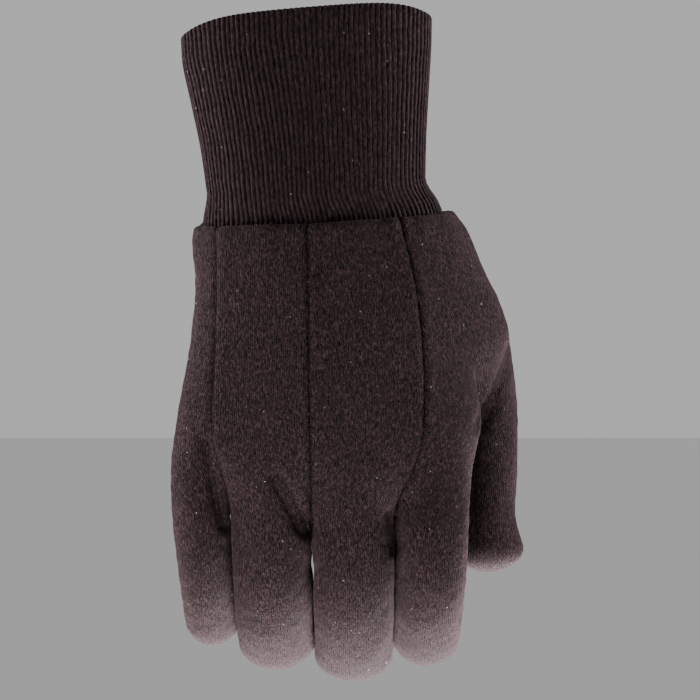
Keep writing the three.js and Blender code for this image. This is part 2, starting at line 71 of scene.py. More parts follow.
# Sizes of the glove in millimetres, shares, angles and powers, the same as in the frame's solids
CUFF_LENGTH = 77
CUFF_WIDTH = 96
CUFF_DEPTH = 46
PALM_LENGTH = 119
HAND_WIDTH = 115
HAND_DEPTH = 38
FINGER_DEPTH = 25.6
FINGER_GAP = 0.8
THUMB_WIDTH = 31
JERSEY_WALL = 1.6
RIB_WALL = 2.2
TUCK_LENGTH = 5
TUCK_GAP = 0.6
RIB_HEIGHT = 0.7
RIB_PITCH = 1.65
TIP_ROUND = 13
TIP_SEAM = 0.62
EDGE_ROLL = 1.7
EDGE_TUCK = 0.35
CROTCH_REACH = 12
FULLNESS = 0.82
SEAM_TILT = 3
SEAM_SWING = 3.5
RIM_LEVEL = -4.2
RIM_TILT = 4
RIM_BACK_RISE = 5.4
RIM_PALM_RISE = 5.0
RIM_BACK_POWER = 5
RIM_PALM_POWER = 3
THUMB_CROTCH = 0.675
THUMB_PARTS = 0.40
FINGERS_PART = 0.66
CROTCH_TURN = math.radians(26)
THUMB_TURN = math.radians(48)


def table(columns, *rows):
    """A table as one array to a named column."""
    return dict(zip(columns.split(), np.array(rows, dtype=float).T))


HAND_SECTIONS = table(
    "down little thumb index back palm bend",
    (0.00, -0.379, 0.461, 0.461, 0.56, 0.56, 0.04),
    (0.04, -0.393, 0.507, 0.507, 0.57, 0.58, 0.08),
    (0.10, -0.396, 0.540, 0.540, 0.56, 0.60, 0.13),
    (0.20, -0.385, 0.585, 0.585, 0.55, 0.61, 0.22),
    (0.35, -0.397, 0.658, 0.655, 0.53, 0.60, 0.36),
    (0.50, -0.418, 0.686, 0.676, 0.51, 0.56, 0.52),
    (0.60, -0.433, 0.693, 0.625, 0.50, 0.53, 0.62),
    (0.70, -0.447, 0.700, 0.578, 0.48, 0.47, 0.68),
    (0.85, -0.469, 0.710, 0.550, 0.45, 0.42, 0.68),
    (1.00, -0.471, 0.710, 0.537, 0.40, 0.39, 0.68),
)
BACK_LINES = table(
    "down thumb index middle ring",
    (0.00, 0.374, 0.300, -0.010, -0.313),
    (0.20, 0.452, 0.350, -0.005, -0.313),
    (0.40, 0.530, 0.376, -0.003, -0.317),
    (0.60, 0.580, 0.382, 0.000, -0.326),
    (0.80, 0.580, 0.366, 0.003, -0.322),
    (1.00, 0.580, 0.284, 0.005, -0.270),
)
PALM_LINES = table(
    "down thumb index middle ring",
    (0.00, 0.163, 0.026, -0.113, -0.243),
    (0.20, 0.165, 0.043, -0.096, -0.243),
    (0.40, 0.168, 0.078, -0.070, -0.248),
    (0.50, 0.225, 0.115, -0.052, -0.252),
    (0.60, 0.372, 0.175, -0.035, -0.257),
    (0.70, 0.475, 0.228, -0.020, -0.262),
    (1.00, 0.470, 0.284, 0.005, -0.270),
)
LINES = ("side", "thumb", "index", "middle", "ring", "little")
LINE_ENDS = (0.96, 1.005, 1.00, 1.015, 0.965, 0.95)
# thumbward and outward: how far a finger swells toward the thumb's side and the little finger's,
# in millimetres, where it is pressed against its neighbour. tucked: the side that lies behind
# its neighbour, 1 for the thumb's and -1 for the little finger's
DIGITS = table(
    "x tip_x y depth length taper curl rise thumbward outward tucked",
    (0.574, 0.596, 0.71, 0.98, 62, 0.98, 14, 4, 0, 0, 0),
    (0.4105, 0.390, 0.030, 1.00, 69, 0.92, 74, 2.2, 0, 0.80, -1),
    (0.1445, 0.146, -0.010, 1.03, 75, 0.93, 72, 2.2, 0.80, 0.65, 0),
    (-0.1325, -0.111, 0.022, 1.00, 71, 0.94, 70, 2, 0.65, 0.75, 1),
    (-0.3705, -0.332, 0.060, 0.88, 62, 0.90, 60, 1.8, 0.85, 0, 1),
)
# The power that shapes a tucked side, and the shares of the half width and of the length over
# which it sets in
VALLEY_FULLNESS = 1.6
TUCKED_ACROSS = 0.8
TUCKED_ALONG = 0.25
# A finger's swell: how much of it is lost at the tip, and the extra swell just below the
# crotch, by its share, its place and its length
TIP_RELEASE = 0.3
BASE_SWELL = 0.8
BASE_PLACE = 4
BASE_LENGTH = 4
# A slit of daylight between the middle and the ring finger, by distance below their crotch
SLIT_PLACE = 17
SLIT_LENGTH = 4.5
SLIT_DEPTH = 1.3
# The power by which the digits part from the hand, and the palm's share beside the thumb that
# its folds fade over
PARTING_POWER = 2.1
FOLD_START = 0.4
THUMB_SIDE = table(
    "down out",
    (0.00, 0),
    (0.35, -0.025),
    (0.58, -0.075),
    (0.72, -0.040),
    (0.86, 0.055),
    (1.00, 0.060),
)
PALM_FOLDS = table(
    "x down end_x end_down depth width",
    (0.430, 0.70, 0.225, 0.90, 0.11, 0.17),
    (0.225, 0.90, 0.280, 1.03, 0.09, 0.15),
    (0.130, 0.80, 0.015, 1.03, 0.10, 0.16),
    (-0.150, 0.86, -0.240, 1.00, 0.07, 0.13),
)
# Creases of the worn cloth, each a groove from one point to another seen from the back or the
# palm: x and z in millimetres, depth and width of the groove
BACK_CREASES = table(
    "x z end_x end_z depth width",
    (-12.0, -179, -1.5, -198, 3.4, 2.7),
    (38.0, -188, 33.5, -203, 3.4, 2.7),
    (30.5, -192, 33.0, -206, 1.6, 2.0),
    (-40.5, -164, -33.0, -197, 2.2, 2.0),
    (79.0, -128, 71.0, -149, 1.8, 2.6),
    (71.0, -149, 66.0, -158, 2.2, 3.2),
)
PALM_CREASES = table(
    "x z end_x end_z depth width",
    (53.0, -160, 29.0, -181, 3.4, 4.2),
    (29.0, -181, 32.0, -200, 2.4, 3.2),
    (17.0, -170, 2.5, -196, 3.0, 3.6),
    (-17.5, -180, -29.0, -196, 2.4, 3.2),
    (36.0, -148, 22.0, -128, 0.6, 3.0),
)
CUFF_SECTIONS = table(
    "down little thumb back palm",
    (0.00, -0.520, 0.484, 0.50, 0.50),
    (0.15, -0.512, 0.482, 0.49, 0.49),
    (0.35, -0.478, 0.475, 0.47, 0.47),
    (0.60, -0.436, 0.467, 0.45, 0.45),
    (0.84, -0.410, 0.464, 0.44, 0.44),
)


# The glove's shape

def lerp(first, second, share):
    """The value that lies at a share of the way from the first to the second."""
    return first + (second - first) * share


def smoothstep(value, low, high):
    """Rises from 0 to 1 between low and high, by three squares less two cubes of the share."""
    share = np.clip((value - low) / (high - low), 0, 1)
    return share * share * (3 - 2 * share)


def bell(distance, width):
    """Bell curve: e to the power of minus the square of the distance over the width."""
    return np.exp(-((distance / width) ** 2))


def line_distance(x, y, start, end):
    """Distance to the line between two points: to each point's foot on it, which is held
    between the two ends."""
    run_x, run_y = end[0] - start[0], end[1] - start[1]
    share = ((x - start[0]) * run_x + (y - start[1]) * run_y) / (run_x**2 + run_y**2)
    share = np.clip(share, 0, 1)
    return np.hypot(x - start[0] - run_x * share, y - start[1] - run_y * share)


def follow(columns, name, down):
    """Value of one column at a share down: a cubic between rows, with the slope at each row
    taken from the rows beside it."""
    at, value = columns["down"], columns[name]
    before = np.maximum(np.arange(len(at)) - 1, 0)
    after = np.minimum(np.arange(len(at)) + 1, len(at) - 1)
    slope = (value[after] - value[before]) / (at[after] - at[before])
    down = np.clip(down, at[0], at[-1])
    row = np.clip(np.searchsorted(at, down, side="left") - 1, 0, len(at) - 2)
    span = at[row + 1] - at[row]
    t = (down - at[row]) / span
    return (
        (2 * t**3 - 3 * t**2 + 1) * value[row]
        + (t**3 - 2 * t**2 + t) * span * slope[row]
        + (3 * t**2 - 2 * t**3) * value[row + 1]
        + (t**3 - t**2) * span * slope[row + 1]
    )


def roundness(angle, fullness=FULLNESS):
    """Sine of an angle raised to a power: below 1 the section is boxier than an ellipse, above
    1 it is pinched."""
    sine = np.sin(angle)
    return np.sign(sine) * np.abs(sine) ** fullness


def middle_and_half(section):
    """Middle and half width of a section, from its two sides."""
    return (section["thumb"] + section["little"]) / 2, (section["thumb"] - section["little"]) / 2


def oval_point(section, angle, side):
    """Point on an oval section: x = centre + half width * cos, y = depth * sine, with the
    thumb's side carried forward by bend * cos squared."""
    centre, half_width = middle_and_half(section)
    across = np.cos(angle)
    backward = roundness(angle) * side
    depth = np.where(backward > 0, section["back"], section["palm"])
    forward = section["bend"] * np.maximum(0, across) ** 2
    return centre + half_width * across, forward - depth * backward


def hand_section(down, outer):
    """Sizes of the hand's section at a share down, with the thumb in it or, where outer is
    index, without: the columns of its table times the hand's width or depth."""
    section = {name: HAND_DEPTH * follow(HAND_SECTIONS, name, down) for name in ("back", "palm", "bend")}
    section["bend"] *= outer == "thumb"
    section["little"] = HAND_WIDTH * follow(HAND_SECTIONS, "little", down)
    section["thumb"] = HAND_WIDTH * follow(HAND_SECTIONS, outer, down)
    return section


def seam_height(angle, side):
    """Height of the hand seam at an angle: tilted by the cosine and swung by the sine."""
    return -CUFF_LENGTH + SEAM_TILT * np.cos(angle) - side * SEAM_SWING * np.sin(angle)


def index_turn(down):
    """Angle of the index finger's side line: it falls evenly from the thumb's crotch on."""
    return CROTCH_TURN * np.clip((1 - down) / (1 - THUMB_CROTCH), 0, 1)


def line_angle(line, down, side, outer):
    """Angle on the hand's section of a numbered line, from 0 at the thumb's side."""
    if line == 5:
        return np.full_like(down, math.pi)
    if line == 0:
        return np.zeros_like(down)
    if line == 1 and outer == "index":
        return -side * index_turn(down)
    x = HAND_WIDTH * follow(BACK_LINES if side == BACK else PALM_LINES, LINES[line], down)
    centre, half_width = middle_and_half(hand_section(down, outer))
    return np.arccos(np.clip((x - centre) / half_width, -1, 1))


def line_height(line, down, side):
    """Height of a numbered line, falling evenly, with its start's lift fading to its crotch."""
    lift = seam_height(line_angle(line, np.zeros(1), side, "thumb"), side) + CUFF_LENGTH
    meets = THUMB_CROTCH if line == 1 else 1
    level = -CUFF_LENGTH - PALM_LENGTH * LINE_ENDS[line] * down
    return level + lift * np.maximum(0, 1 - down / meets)


def base_half_width(column):
    """Half the width of a digit where it starts: half the way between its two lines at the
    knuckles, less half the gap between fingers."""
    if column == 0:
        return THUMB_WIDTH / 2
    near = HAND_SECTIONS["index"][-1] if column == 1 else BACK_LINES[LINES[column]][-1]
    far = HAND_SECTIONS["little"][-1] if column == 4 else BACK_LINES[LINES[column + 1]][-1]
    return (HAND_WIDTH * (near - far) - FINGER_GAP) / 2


def tube_point(column, along, share, side, shrink):
    """Point of a digit: an oval round a centre line that bends evenly toward the palm, its
    width and depth closing along a quarter circle at the tip. A finger's sides swell by the
    cube of the cosine where they touch its neighbours, and a tucked side falls off sooner."""
    digit = {name: values[column] for name, values in DIGITS.items()}
    bend = math.radians(digit["curl"])
    angle = bend * along
    base = np.full(1, THUMB_CROTCH if column == 0 else 1.0)
    first, second = line_height(column, base, side), line_height(column + 1, base, side)
    x = HAND_WIDTH * lerp(digit["x"], digit["tip_x"], along)
    y = HAND_DEPTH * digit["y"] + digit["length"] * (1 - np.cos(angle)) / bend
    z = (first + second) / 2 - digit["length"] * np.sin(angle) / bend
    taper = lerp(1, digit["taper"], along)
    width = base_half_width(column) * taper * np.sqrt(1 - (1 - TIP_SEAM**2) * shrink**2)
    depth = FINGER_DEPTH / 2 * digit["depth"] * taper * np.sqrt(np.maximum(0, 1 - shrink**2))
    turned = THUMB_TURN * (1 - along) ** 2 if column == 0 else 0
    turn = share * (math.pi - side * turned)
    across = np.cos(turn)
    fullness = FULLNESS
    if column > 0 and side == BACK:
        tucked = smoothstep(digit["tucked"] * across, 0, TUCKED_ACROSS)
        tucked = tucked * smoothstep(along, 0, TUCKED_ALONG)
        fullness = lerp(FULLNESS, VALLEY_FULLNESS, tucked)
    out = side * depth * roundness(turn, fullness)
    slant = (0.5 - share) * (first - second)
    rise = digit["rise"] * (across * shrink) ** 2
    if column == 0:
        swell = THUMB_WIDTH * follow(THUMB_SIDE, "out", along) * np.maximum(0, across)
    else:
        reach = along * digit["length"]
        touch = (1 - np.maximum(0, 1 - reach / CROTCH_REACH) ** 2) * (1 - TIP_RELEASE * shrink**2)
        touch = touch + BASE_SWELL * bell(reach - BASE_PLACE, BASE_LENGTH)
        slit = 1 - SLIT_DEPTH * bell(reach - SLIT_PLACE, SLIT_LENGTH)
        thumbward = digit["thumbward"] * (slit if column == 3 else 1)
        outward = digit["outward"] * (slit if column == 2 else 1)
        swell = touch * (thumbward * np.maximum(0, across) ** 3 - outward * np.maximum(0, -across) ** 3)
    return (
        x + width * across + swell,
        y - out * np.cos(angle) - rise * np.sin(angle),
        z - out * np.sin(angle) + rise * np.cos(angle) + slant * (1 - along) ** 3,
    )


def index_side(down):
    """Point of the index finger's side line on the hand's section without the thumb."""
    return oval_point(hand_section(down, "index"), -index_turn(down), BACK)


def crotch_point(line):
    """Where two digits meet: half way between the two sides that face each other there."""
    zero, one = np.zeros(1), np.ones(1)
    if line == 1:
        near = index_side(np.full(1, THUMB_CROTCH))
    else:
        near = tube_point(line, zero, zero, BACK, zero)
    far = tube_point(line - 1, zero, one, BACK, zero)
    return (near[0] + far[0]) / 2, (near[1] + far[1]) / 2


def draw_to_crotch(point, start, line, share, fade):
    """Moves a digit's side to the crotch that it shares, by the fourth power of the share."""
    crotch = crotch_point(line)
    pull = share**4 * fade
    return point[0] + (crotch[0] - start[0]) * pull, point[1] + (crotch[1] - start[1]) * pull, point[2]


def digit_point(column, along, share, side, shrink):
    """Point of a digit's tube, with both sides drawn to their crotches. The pull fades over
    the crotch's reach by the square of what is left of it."""
    zero, one = np.zeros(1), np.ones(1)
    fade = np.maximum(0, 1 - along * DIGITS["length"][column] / CROTCH_REACH) ** 2
    point = tube_point(column, along, share, side, shrink)
    if column > 1:
        point = draw_to_crotch(point, tube_point(column, zero, zero, BACK, zero), column, 1 - share, fade)
    if column < 4:
        point = draw_to_crotch(point, tube_point(column, zero, one, BACK, zero), column + 1, share, fade)
    return point


def ease(down, start, end):
    """Rises from 0 at the start to 1 at the end, by a power of the share, so slowly at first."""
    return np.clip((down - start) / (end - start), 0, 1) ** PARTING_POWER


def fold_depth(x, down):
    """Depth of the palm's folds: for each, a bell curve of the distance to its line."""
    deepest = np.zeros(np.broadcast(x, down).shape)
    for x_start, start, x_end, end, depth, width in zip(*PALM_FOLDS.values()):
        ends = ((x_start * HAND_WIDTH, start * PALM_LENGTH), (x_end * HAND_WIDTH, end * PALM_LENGTH))
        away = line_distance(x, down * PALM_LENGTH, *ends)
        deepest = np.maximum(deepest, depth * HAND_DEPTH * bell(away, width * HAND_DEPTH))
    return deepest


def hand_point(column, down, share, side):
    """Point of the hand: the whole section, turning into the section without the thumb toward
    the thumb's crotch and into the digits' own tubes toward theirs."""
    height = lerp(line_height(column, down, side), line_height(column + 1, down, side), share)

    def angle_between(outer):
        first = line_angle(column, down, side, outer)
        return lerp(first, line_angle(column + 1, down, side, outer), share)

    zero = np.zeros(1)
    whole = oval_point(hand_section(down, "thumb"), angle_between("thumb"), side)
    thumb_away = ease(down, THUMB_PARTS, THUMB_CROTCH)
    if column == 0:
        thumb = digit_point(0, zero, share, side, zero)
        return lerp(whole[0], thumb[0], thumb_away), lerp(whole[1], thumb[1], thumb_away), height
    four = (*oval_point(hand_section(down, "index"), angle_between("index"), side), height)
    if column == 1:
        below = np.maximum(0, down - THUMB_CROTCH) * PALM_LENGTH
        fade = np.maximum(0, 1 - below / CROTCH_REACH) ** 2
        four = draw_to_crotch(four, index_side(np.minimum(down, THUMB_CROTCH)), 1, 1 - share, fade)
    finger = digit_point(column, zero, share, side, zero)
    finger_away = ease(down, FINGERS_PART, 1)
    x = lerp(whole[0], four[0], thumb_away)
    y = lerp(whole[1], four[1], thumb_away)
    if side == PALM:
        from_thumb = smoothstep(share, 0, FOLD_START) if column == 1 else 1
        y = y - fold_depth(x, down) * np.sin(angle_between("index")) * from_thumb
    return lerp(x, finger[0], finger_away), lerp(y, finger[1], finger_away), height


# Noise, grids and meshes

# Shortest and longest wave of a noise, as shares of its named wavelength
WAVE_RANGE = (0.7, 1.5)


def soft_noise(points, wavelength, seed, waves=9):
    """Smooth noise about -1 to 1: sine waves in seeded directions, added up and divided by the
    square root of their number."""
    source = np.random.default_rng(seed)
    directions = source.normal(size=(waves, 3))
    directions /= np.linalg.norm(directions, axis=1)[:, None]
    lengths = wavelength * source.uniform(*WAVE_RANGE, waves)
    phases = source.uniform(0, 2 * math.pi, waves)
    total = np.zeros(points.shape[:-1])
    for direction, length, phase in zip(directions, lengths, phases):
        total += np.sin(points @ direction * (2 * math.pi / length) + phase)
    return total / math.sqrt(waves)


# The jersey's grid: segments across each strip, rows of the hand, of a digit's straight part
# and of its tip, how far the points crowd toward the seams, the top edge and the tips, and the
# rounds that even the surface out
SEGMENTS = (44, 42, 42, 40, 32)
HAND_ROWS = 118
SHAFT_ROWS = 58
TIP_ROWS = 24
SEAM_CROWDING = 0.6
TOP_CROWDING = 1.15
TIP_CROWDING = 1.4
EVENING_ROUNDS = 26
# Seams: the strength of the faint one beside the little finger, the shares down the hand over
# which the thumb panel's seam fades on the thumb's strip and the index finger's, how much it
# fades, and the rows over which a seam sets in below a crotch
FAINT_SEAM = 0.45
SEAM_FADE = ((0.60, 0.80), (0.40, 0.54))
SEAM_LOSS = 0.7
SEAM_START = 4
# Depth and width of a seam's trough, height, distance and width of the swell beside it, and
# width of the seam's shadow, in millimetres
TROUGH_DEPTH = 0.85
TROUGH_WIDTH = 0.72
SWELL_HEIGHT = 0.20
SWELL_PLACE = 2.6
SWELL_WIDTH = 1.5
SHADOW_WIDTH = 0.55
# The hand's hem: its height and width, and the length over which its edge rolls in and over
# which the edge's extra thickness grows
HEM_HEIGHT = 0.45
HEM_WIDTH = 4.5
ROLL_LENGTH = 2.4
TUCK_REACH = 7
# How far a surface has to face its side for a crease to have its full depth
CREASE_FACING = 0.35
# Unevenness of the jersey, each a noise by its height, its squeeze down the hand, its wavelength
# and its seed: slow swells, a ripple, the gathers below the cuff and the seams' pucker
SWELLS = ((0.20, 0.6, 34, 11), (0.13, 0.6, 15, 12), (0.075, 1, 5.5, 13))
GATHERS = (0.30, 0.15, 7.5, 14)
GATHER_REACH = 11
PUCKER = (0.35, 1, 6, 15)


def shares_across(column):
    """Shares across a strip, drawn toward its two seams by a sine wave."""
    even = np.linspace(0, 1, SEGMENTS[column] + 1)
    return even - SEAM_CROWDING * np.sin(2 * math.pi * even) / (2 * math.pi)


def strip_grid(column, side):
    """Points of one digit's back or front, from the hand seam to the tip, and how many of the
    rows belong to the hand."""
    share = shares_across(column)[None, :]
    upper = int(HAND_ROWS * THUMB_CROTCH)
    top = THUMB_CROTCH * np.linspace(0, 1, upper) ** TOP_CROWDING
    lower = np.linspace(THUMB_CROTCH, 1, HAND_ROWS - upper + 1)[1:]
    down = top if column == 0 else np.concatenate([top, lower])
    hand = np.stack(np.broadcast_arrays(*hand_point(column, down[:, None], share, side)), axis=-1)
    shaft_end = 1 - TIP_ROUND / DIGITS["length"][column]
    shaft = shaft_end * np.linspace(0, 1, SHAFT_ROWS + 1)[1:]
    left = 1 - np.linspace(0, 1, TIP_ROWS + 1)[1:]
    shrink = np.sin(math.pi / 2 * (1 - left**TIP_CROWDING))
    along = np.concatenate([shaft, shaft_end + (1 - shaft_end) * shrink])
    shrink = np.concatenate([np.zeros(SHAFT_ROWS), shrink])
    digit = digit_point(column, along[:, None], share, side, shrink[:, None])
    digit = np.stack(np.broadcast_arrays(*digit), axis=-1)
    return np.concatenate([hand, digit]), len(down)


def lengths_along(grid, axis):
    """Length along a grid's rows or columns up to each point: its steps, added up."""
    steps = np.linalg.norm(np.diff(grid, axis=axis), axis=-1)
    start = np.zeros_like(np.take(steps, [0], axis=axis))
    return np.cumsum(np.concatenate([start, steps], axis=axis), axis=axis)


def seam_weights(column, side, rows, hand_rows):
    """How much of a seam runs along each of a strip's two sides, row by row. The thumb panel's
    seam fades into the cloth on its way to the crotch."""
    whole = np.ones(rows)
    faint = FAINT_SEAM * whole
    below = smoothstep(np.arange(rows), hand_rows, hand_rows + SEAM_START)
    faded = smoothstep(np.arange(rows) / hand_rows, *SEAM_FADE[min(column, 1)])
    fading = np.maximum(1 - SEAM_LOSS * faded, below)
    if side == BACK:
        first = (whole, below, whole, whole, faint)
        second = (below, whole, whole, faint, whole)
    else:
        first = (whole, fading, below, below, below)
        second = (fading, below, below, below, whole)
    return first[column], second[column]


def seam_profile(distance):
    """Height beside a seam: a narrow trough and a low swell of turned-in cloth, both bells."""
    swell = SWELL_HEIGHT * bell(distance - SWELL_PLACE, SWELL_WIDTH)
    return swell - TROUGH_DEPTH * bell(distance, TROUGH_WIDTH)


def uneven(points, height, squeeze, wavelength, seed):
    """A soft noise of a given height, on points that are squeezed down the hand."""
    return height * soft_noise(points * np.array([1, 1, squeeze]), wavelength, seed)


class Cloth:
    """The jersey's outer surface as one welded grid, with the panels' faces."""

    def __init__(self):
        strips = [(column, side) for side in (BACK, PALM) for column in range(5)]
        points, sunk, dark, across, down, self.strips = [], [], [], [], [], {}
        first = 0
        for column, side in strips:
            grid, hand_rows = strip_grid(column, side)
            rows, columns = grid.shape[:2]
            width = lengths_along(grid, 1)
            length = lengths_along(grid, 0)
            seams = [(length[-1:] - length, 1)]
            distances = (width, width[:, -1:] - width)
            for distance, weight in zip(distances, seam_weights(column, side, rows, hand_rows)):
                seams.append((distance, weight[:, None]))
            trough = sum(seam_profile(distance) * weight for distance, weight in seams)
            # Shadow painted along each seam, a bell curve of the distance to it
            shadows = [bell(distance, SHADOW_WIDTH) * weight for distance, weight in seams]
            centre = width - width[:, -1:] / 2
            points.append(grid.reshape(-1, 3))
            sunk.append((trough + self.top_edge(length)).ravel())
            dark.append(np.max(shadows, axis=0).ravel())
            across.append((centre + self.across_start(grid, hand_rows)).ravel())
            down.append(length.ravel())
            self.strips[column, side] = first + np.arange(rows * columns).reshape(rows, columns)
            first += rows * columns
        points = np.concatenate(points)
        # Points that lie within a ten-thousandth of a millimetre are one welded point.
        places = np.round(points * 1e4)
        _, keep, number = np.unique(places, axis=0, return_index=True, return_inverse=True)
        self.number = number.ravel()
        self.points = points[keep]
        self.sunk = self.mean(np.concatenate(sunk))
        self.dark = self.mean(np.concatenate(dark))
        self.across = np.concatenate(across)
        self.down = np.concatenate(down)
        self.faces = {key: self.strip_faces(key) for key in self.strips}
        self.every = self.number[np.concatenate(list(self.faces.values()))]
        self.relax(EVENING_ROUNDS)
        self.normals = self.point_normals(self.points)
        self.smooth = self.points
        self.points = self.points + self.normals * self.relief()[:, None]

    def mean(self, values):
        """Mean over the copies of each welded point."""
        total = np.bincount(self.number, weights=values)
        return total / np.bincount(self.number)

    @staticmethod
    def top_edge(length):
        """The hand's top edge: a hem that stands proud as a bell and rolls in to the cuff by
        the square of what is left of its length."""
        rolled = EDGE_ROLL * np.clip(1 - length / ROLL_LENGTH, 0, 1) ** 2
        return HEM_HEIGHT * bell(length, HEM_WIDTH) - rolled

    @staticmethod
    def across_start(grid, hand_rows):
        """Where a strip's middle lies across the cloth: its x on the hand, and below the
        crotch the x it has there, so that the knit runs straight down each finger."""
        middle = grid[:, grid.shape[1] // 2, 0].copy()
        middle[hand_rows:] = middle[hand_rows - 1]
        return middle[:, None]

    def strip_faces(self, key):
        """Quads between a strip's neighbouring rows, turned so that they face outward."""
        numbers = self.strips[key]
        a, b, c, d = numbers[:-1, :-1], numbers[:-1, 1:], numbers[1:, 1:], numbers[1:, :-1]
        order = (a, b, c, d) if key[1] == BACK else (a, d, c, b)
        return np.stack([corner.ravel() for corner in order], axis=1)

    def relax(self, rounds):
        """Evens the surface out: in each round every point but those of the top edge moves
        half way to the mean of its neighbours."""
        quads = self.every
        edges = np.concatenate([quads[:, [0, 1]], quads[:, [1, 2]], quads[:, [2, 3]], quads[:, [3, 0]]])
        edges = np.unique(np.sort(edges, axis=1), axis=0)
        count = len(self.points)
        degree = np.bincount(edges.ravel(), minlength=count)
        top = np.zeros(count, bool)
        for key in self.strips:
            top[self.number[self.strips[key][0]]] = True
        for _ in range(rounds):
            total = np.stack([
                np.bincount(edges[:, 0], self.points[edges[:, 1], axis], count)
                + np.bincount(edges[:, 1], self.points[edges[:, 0], axis], count)
                for axis in range(3)
            ], axis=1)
            moved = lerp(self.points, total / degree[:, None], 0.5)
            self.points = np.where(top[:, None], self.points, moved)

    def point_normals(self, points):
        """Outward direction at each point: its quads' crossed diagonals, added up, at unit
        length."""
        a, b, c, d = (points[self.every[:, corner]] for corner in range(4))
        normal = np.cross(c - a, d - b)
        total = np.zeros_like(points)
        for corner in range(4):
            for axis in range(3):
                total[:, axis] += np.bincount(self.every[:, corner], normal[:, axis], len(points))
        return total / np.linalg.norm(total, axis=1)[:, None]

    def creases(self):
        """Depth of the worn cloth's creases: for each, a bell curve of the distance to its
        line as seen from its side, fading where the surface turns away."""
        x, z = self.points[:, 0], self.points[:, 2]
        facing = self.normals[:, 1]
        deepest = np.zeros(len(x))
        for creases, side in ((BACK_CREASES, BACK), (PALM_CREASES, PALM)):
            seen = smoothstep(-side * facing, 0, CREASE_FACING)
            for start_x, start_z, end_x, end_z, depth, width in zip(*creases.values()):
                away = line_distance(x, z, (start_x, start_z), (end_x, end_z))
                deepest = np.maximum(deepest, depth * seen * bell(away, width))
        return deepest

    def relief(self):
        """Height of the worn cloth's unevenness: slow swells and a ripple, gathers that fade
        below the cuff as a bell, the puckered seams' troughs, and the creases."""
        points = self.points
        near_cuff = bell(np.maximum(0, -points[:, 2] - CUFF_LENGTH), GATHER_REACH)
        swell = sum(uneven(points, *noise) for noise in SWELLS)
        gathers = near_cuff * uneven(points, *GATHERS)
        return swell + gathers + self.sunk * (1 + uneven(points, *PUCKER)) - self.creases()

    def panel(self, keys):
        """Vertices, faces, flat faces, cloth coordinates and seam shadows of one panel as a
        closed sheet: the surface, the same moved in by the wall, and a rim round their edge."""
        # Corners of a strip keep their own cloth coordinates where two strips meet.
        raw = np.concatenate([self.faces[key] for key in keys])
        used, local = np.unique(self.number[raw], return_inverse=True)
        outer = local.reshape(raw.shape)
        count = len(used)
        start = outer.ravel()
        end = np.roll(outer, -1, axis=1).ravel()
        open_edge = ~np.isin(start * count + end, end * count + start)
        a, b = start[open_edge], end[open_edge]
        rim = np.stack([b, a, a + count, b + count], axis=1)
        near_edge = 1 + (self.points[used, 2] + CUFF_LENGTH + TUCK_REACH) / TUCK_REACH
        wall = JERSEY_WALL + EDGE_TUCK * np.clip(near_edge, 0, 1)
        deep = self.smooth[used] - self.normals[used] * wall[:, None]
        cloth_uv = np.stack([self.across, self.down], axis=1)[raw]
        rim_uv = np.repeat(cloth_uv.reshape(-1, 1, 2)[open_edge], 4, axis=1)
        return (
            np.concatenate([self.points[used], deep]),
            np.concatenate([outer, outer[:, ::-1] + count, rim]),
            np.repeat([False, True], [2 * len(outer), len(rim)]),
            np.concatenate([cloth_uv, cloth_uv[:, ::-1], rim_uv]),
            np.concatenate([self.dark[used], np.zeros(count)]),
        )


def make_piece(name, points, faces, flat, cloth_uv, seam, material, slot):
    """A mesh object from arrays of points in millimetres, quads, flat faces, corner UVs and
    each point's share of the shadow painted along the jersey's seams and in the cuff's rib grooves."""
    mesh = bpy.data.meshes.new(name)
    mesh.vertices.add(len(points))
    mesh.vertices.foreach_set("co", (points * MM).ravel())
    mesh.loops.add(faces.size)
    mesh.loops.foreach_set("vertex_index", faces.ravel().astype(np.int32))
    mesh.polygons.add(len(faces))
    mesh.polygons.foreach_set("loop_start", np.arange(0, faces.size, 4, dtype=np.int32))
    mesh.update(calc_edges=True)
    mesh.polygons.foreach_set("use_smooth", ~flat)
    layer = mesh.uv_layers.new(name="cloth")
    layer.data.foreach_set("uv", cloth_uv.ravel())
    # The shadow painted along the jersey's seams and in the cuff's rib grooves, kept in the seam attribute
    shadow = mesh.attributes.new("seam", "FLOAT", "POINT")
    shadow.data.foreach_set("value", seam)
    mesh.update()
    mesh.materials.append(material)
    piece = bpy.data.objects.new(name, mesh)
    bpy.context.scene.collection.objects.link(piece)
    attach(piece, "root")
    return piece


# The knit wrist

# Rows up the outside, over the rim and down the inside, the tucked end's and the rim's share
# down, and the points to a rib
CUFF_ROWS = (66, 5, 18)
TUCKED_END = 2
RIM_SHARE = 0.012
RIB_POINTS = 8
# A rib's height as a share of the full one, at the two ends of the roll and inside the cuff,
# the power that rounds its crest, how much the ribs' heights differ, how far its crest stands
# up at the rim and down to which share, and the groove's shadow: its share at the bottom and how
# fast it fades up the rib
ROLL_RIBS = (0.9, 0.6)
INSIDE_RIBS = 0.55
CREST_POWER = 2.6
RIB_SPREAD = 0.09
RIM_SCALLOP = 0.22
SCALLOP_SHARE = 0.03
GROOVE_SHADOW = (0.75, 1.2)
# Noises of the cuff, by height, squeeze, wavelength and seed: the ribs' sideways drift as a
# share of a rib, and the cloth's slack in millimetres, with its share at the rim
RIB_DRIFTS = ((0.20, 0.5, 30, 21), (0.08, 1, 9, 22))
CUFF_SLACK = (0.5, 0.6, 42, 23)
RIM_SLACK = 0.35
RIB_SEED = 5
# Points of the fine polygon that a section's length is measured on
FINE_POINTS = 1441


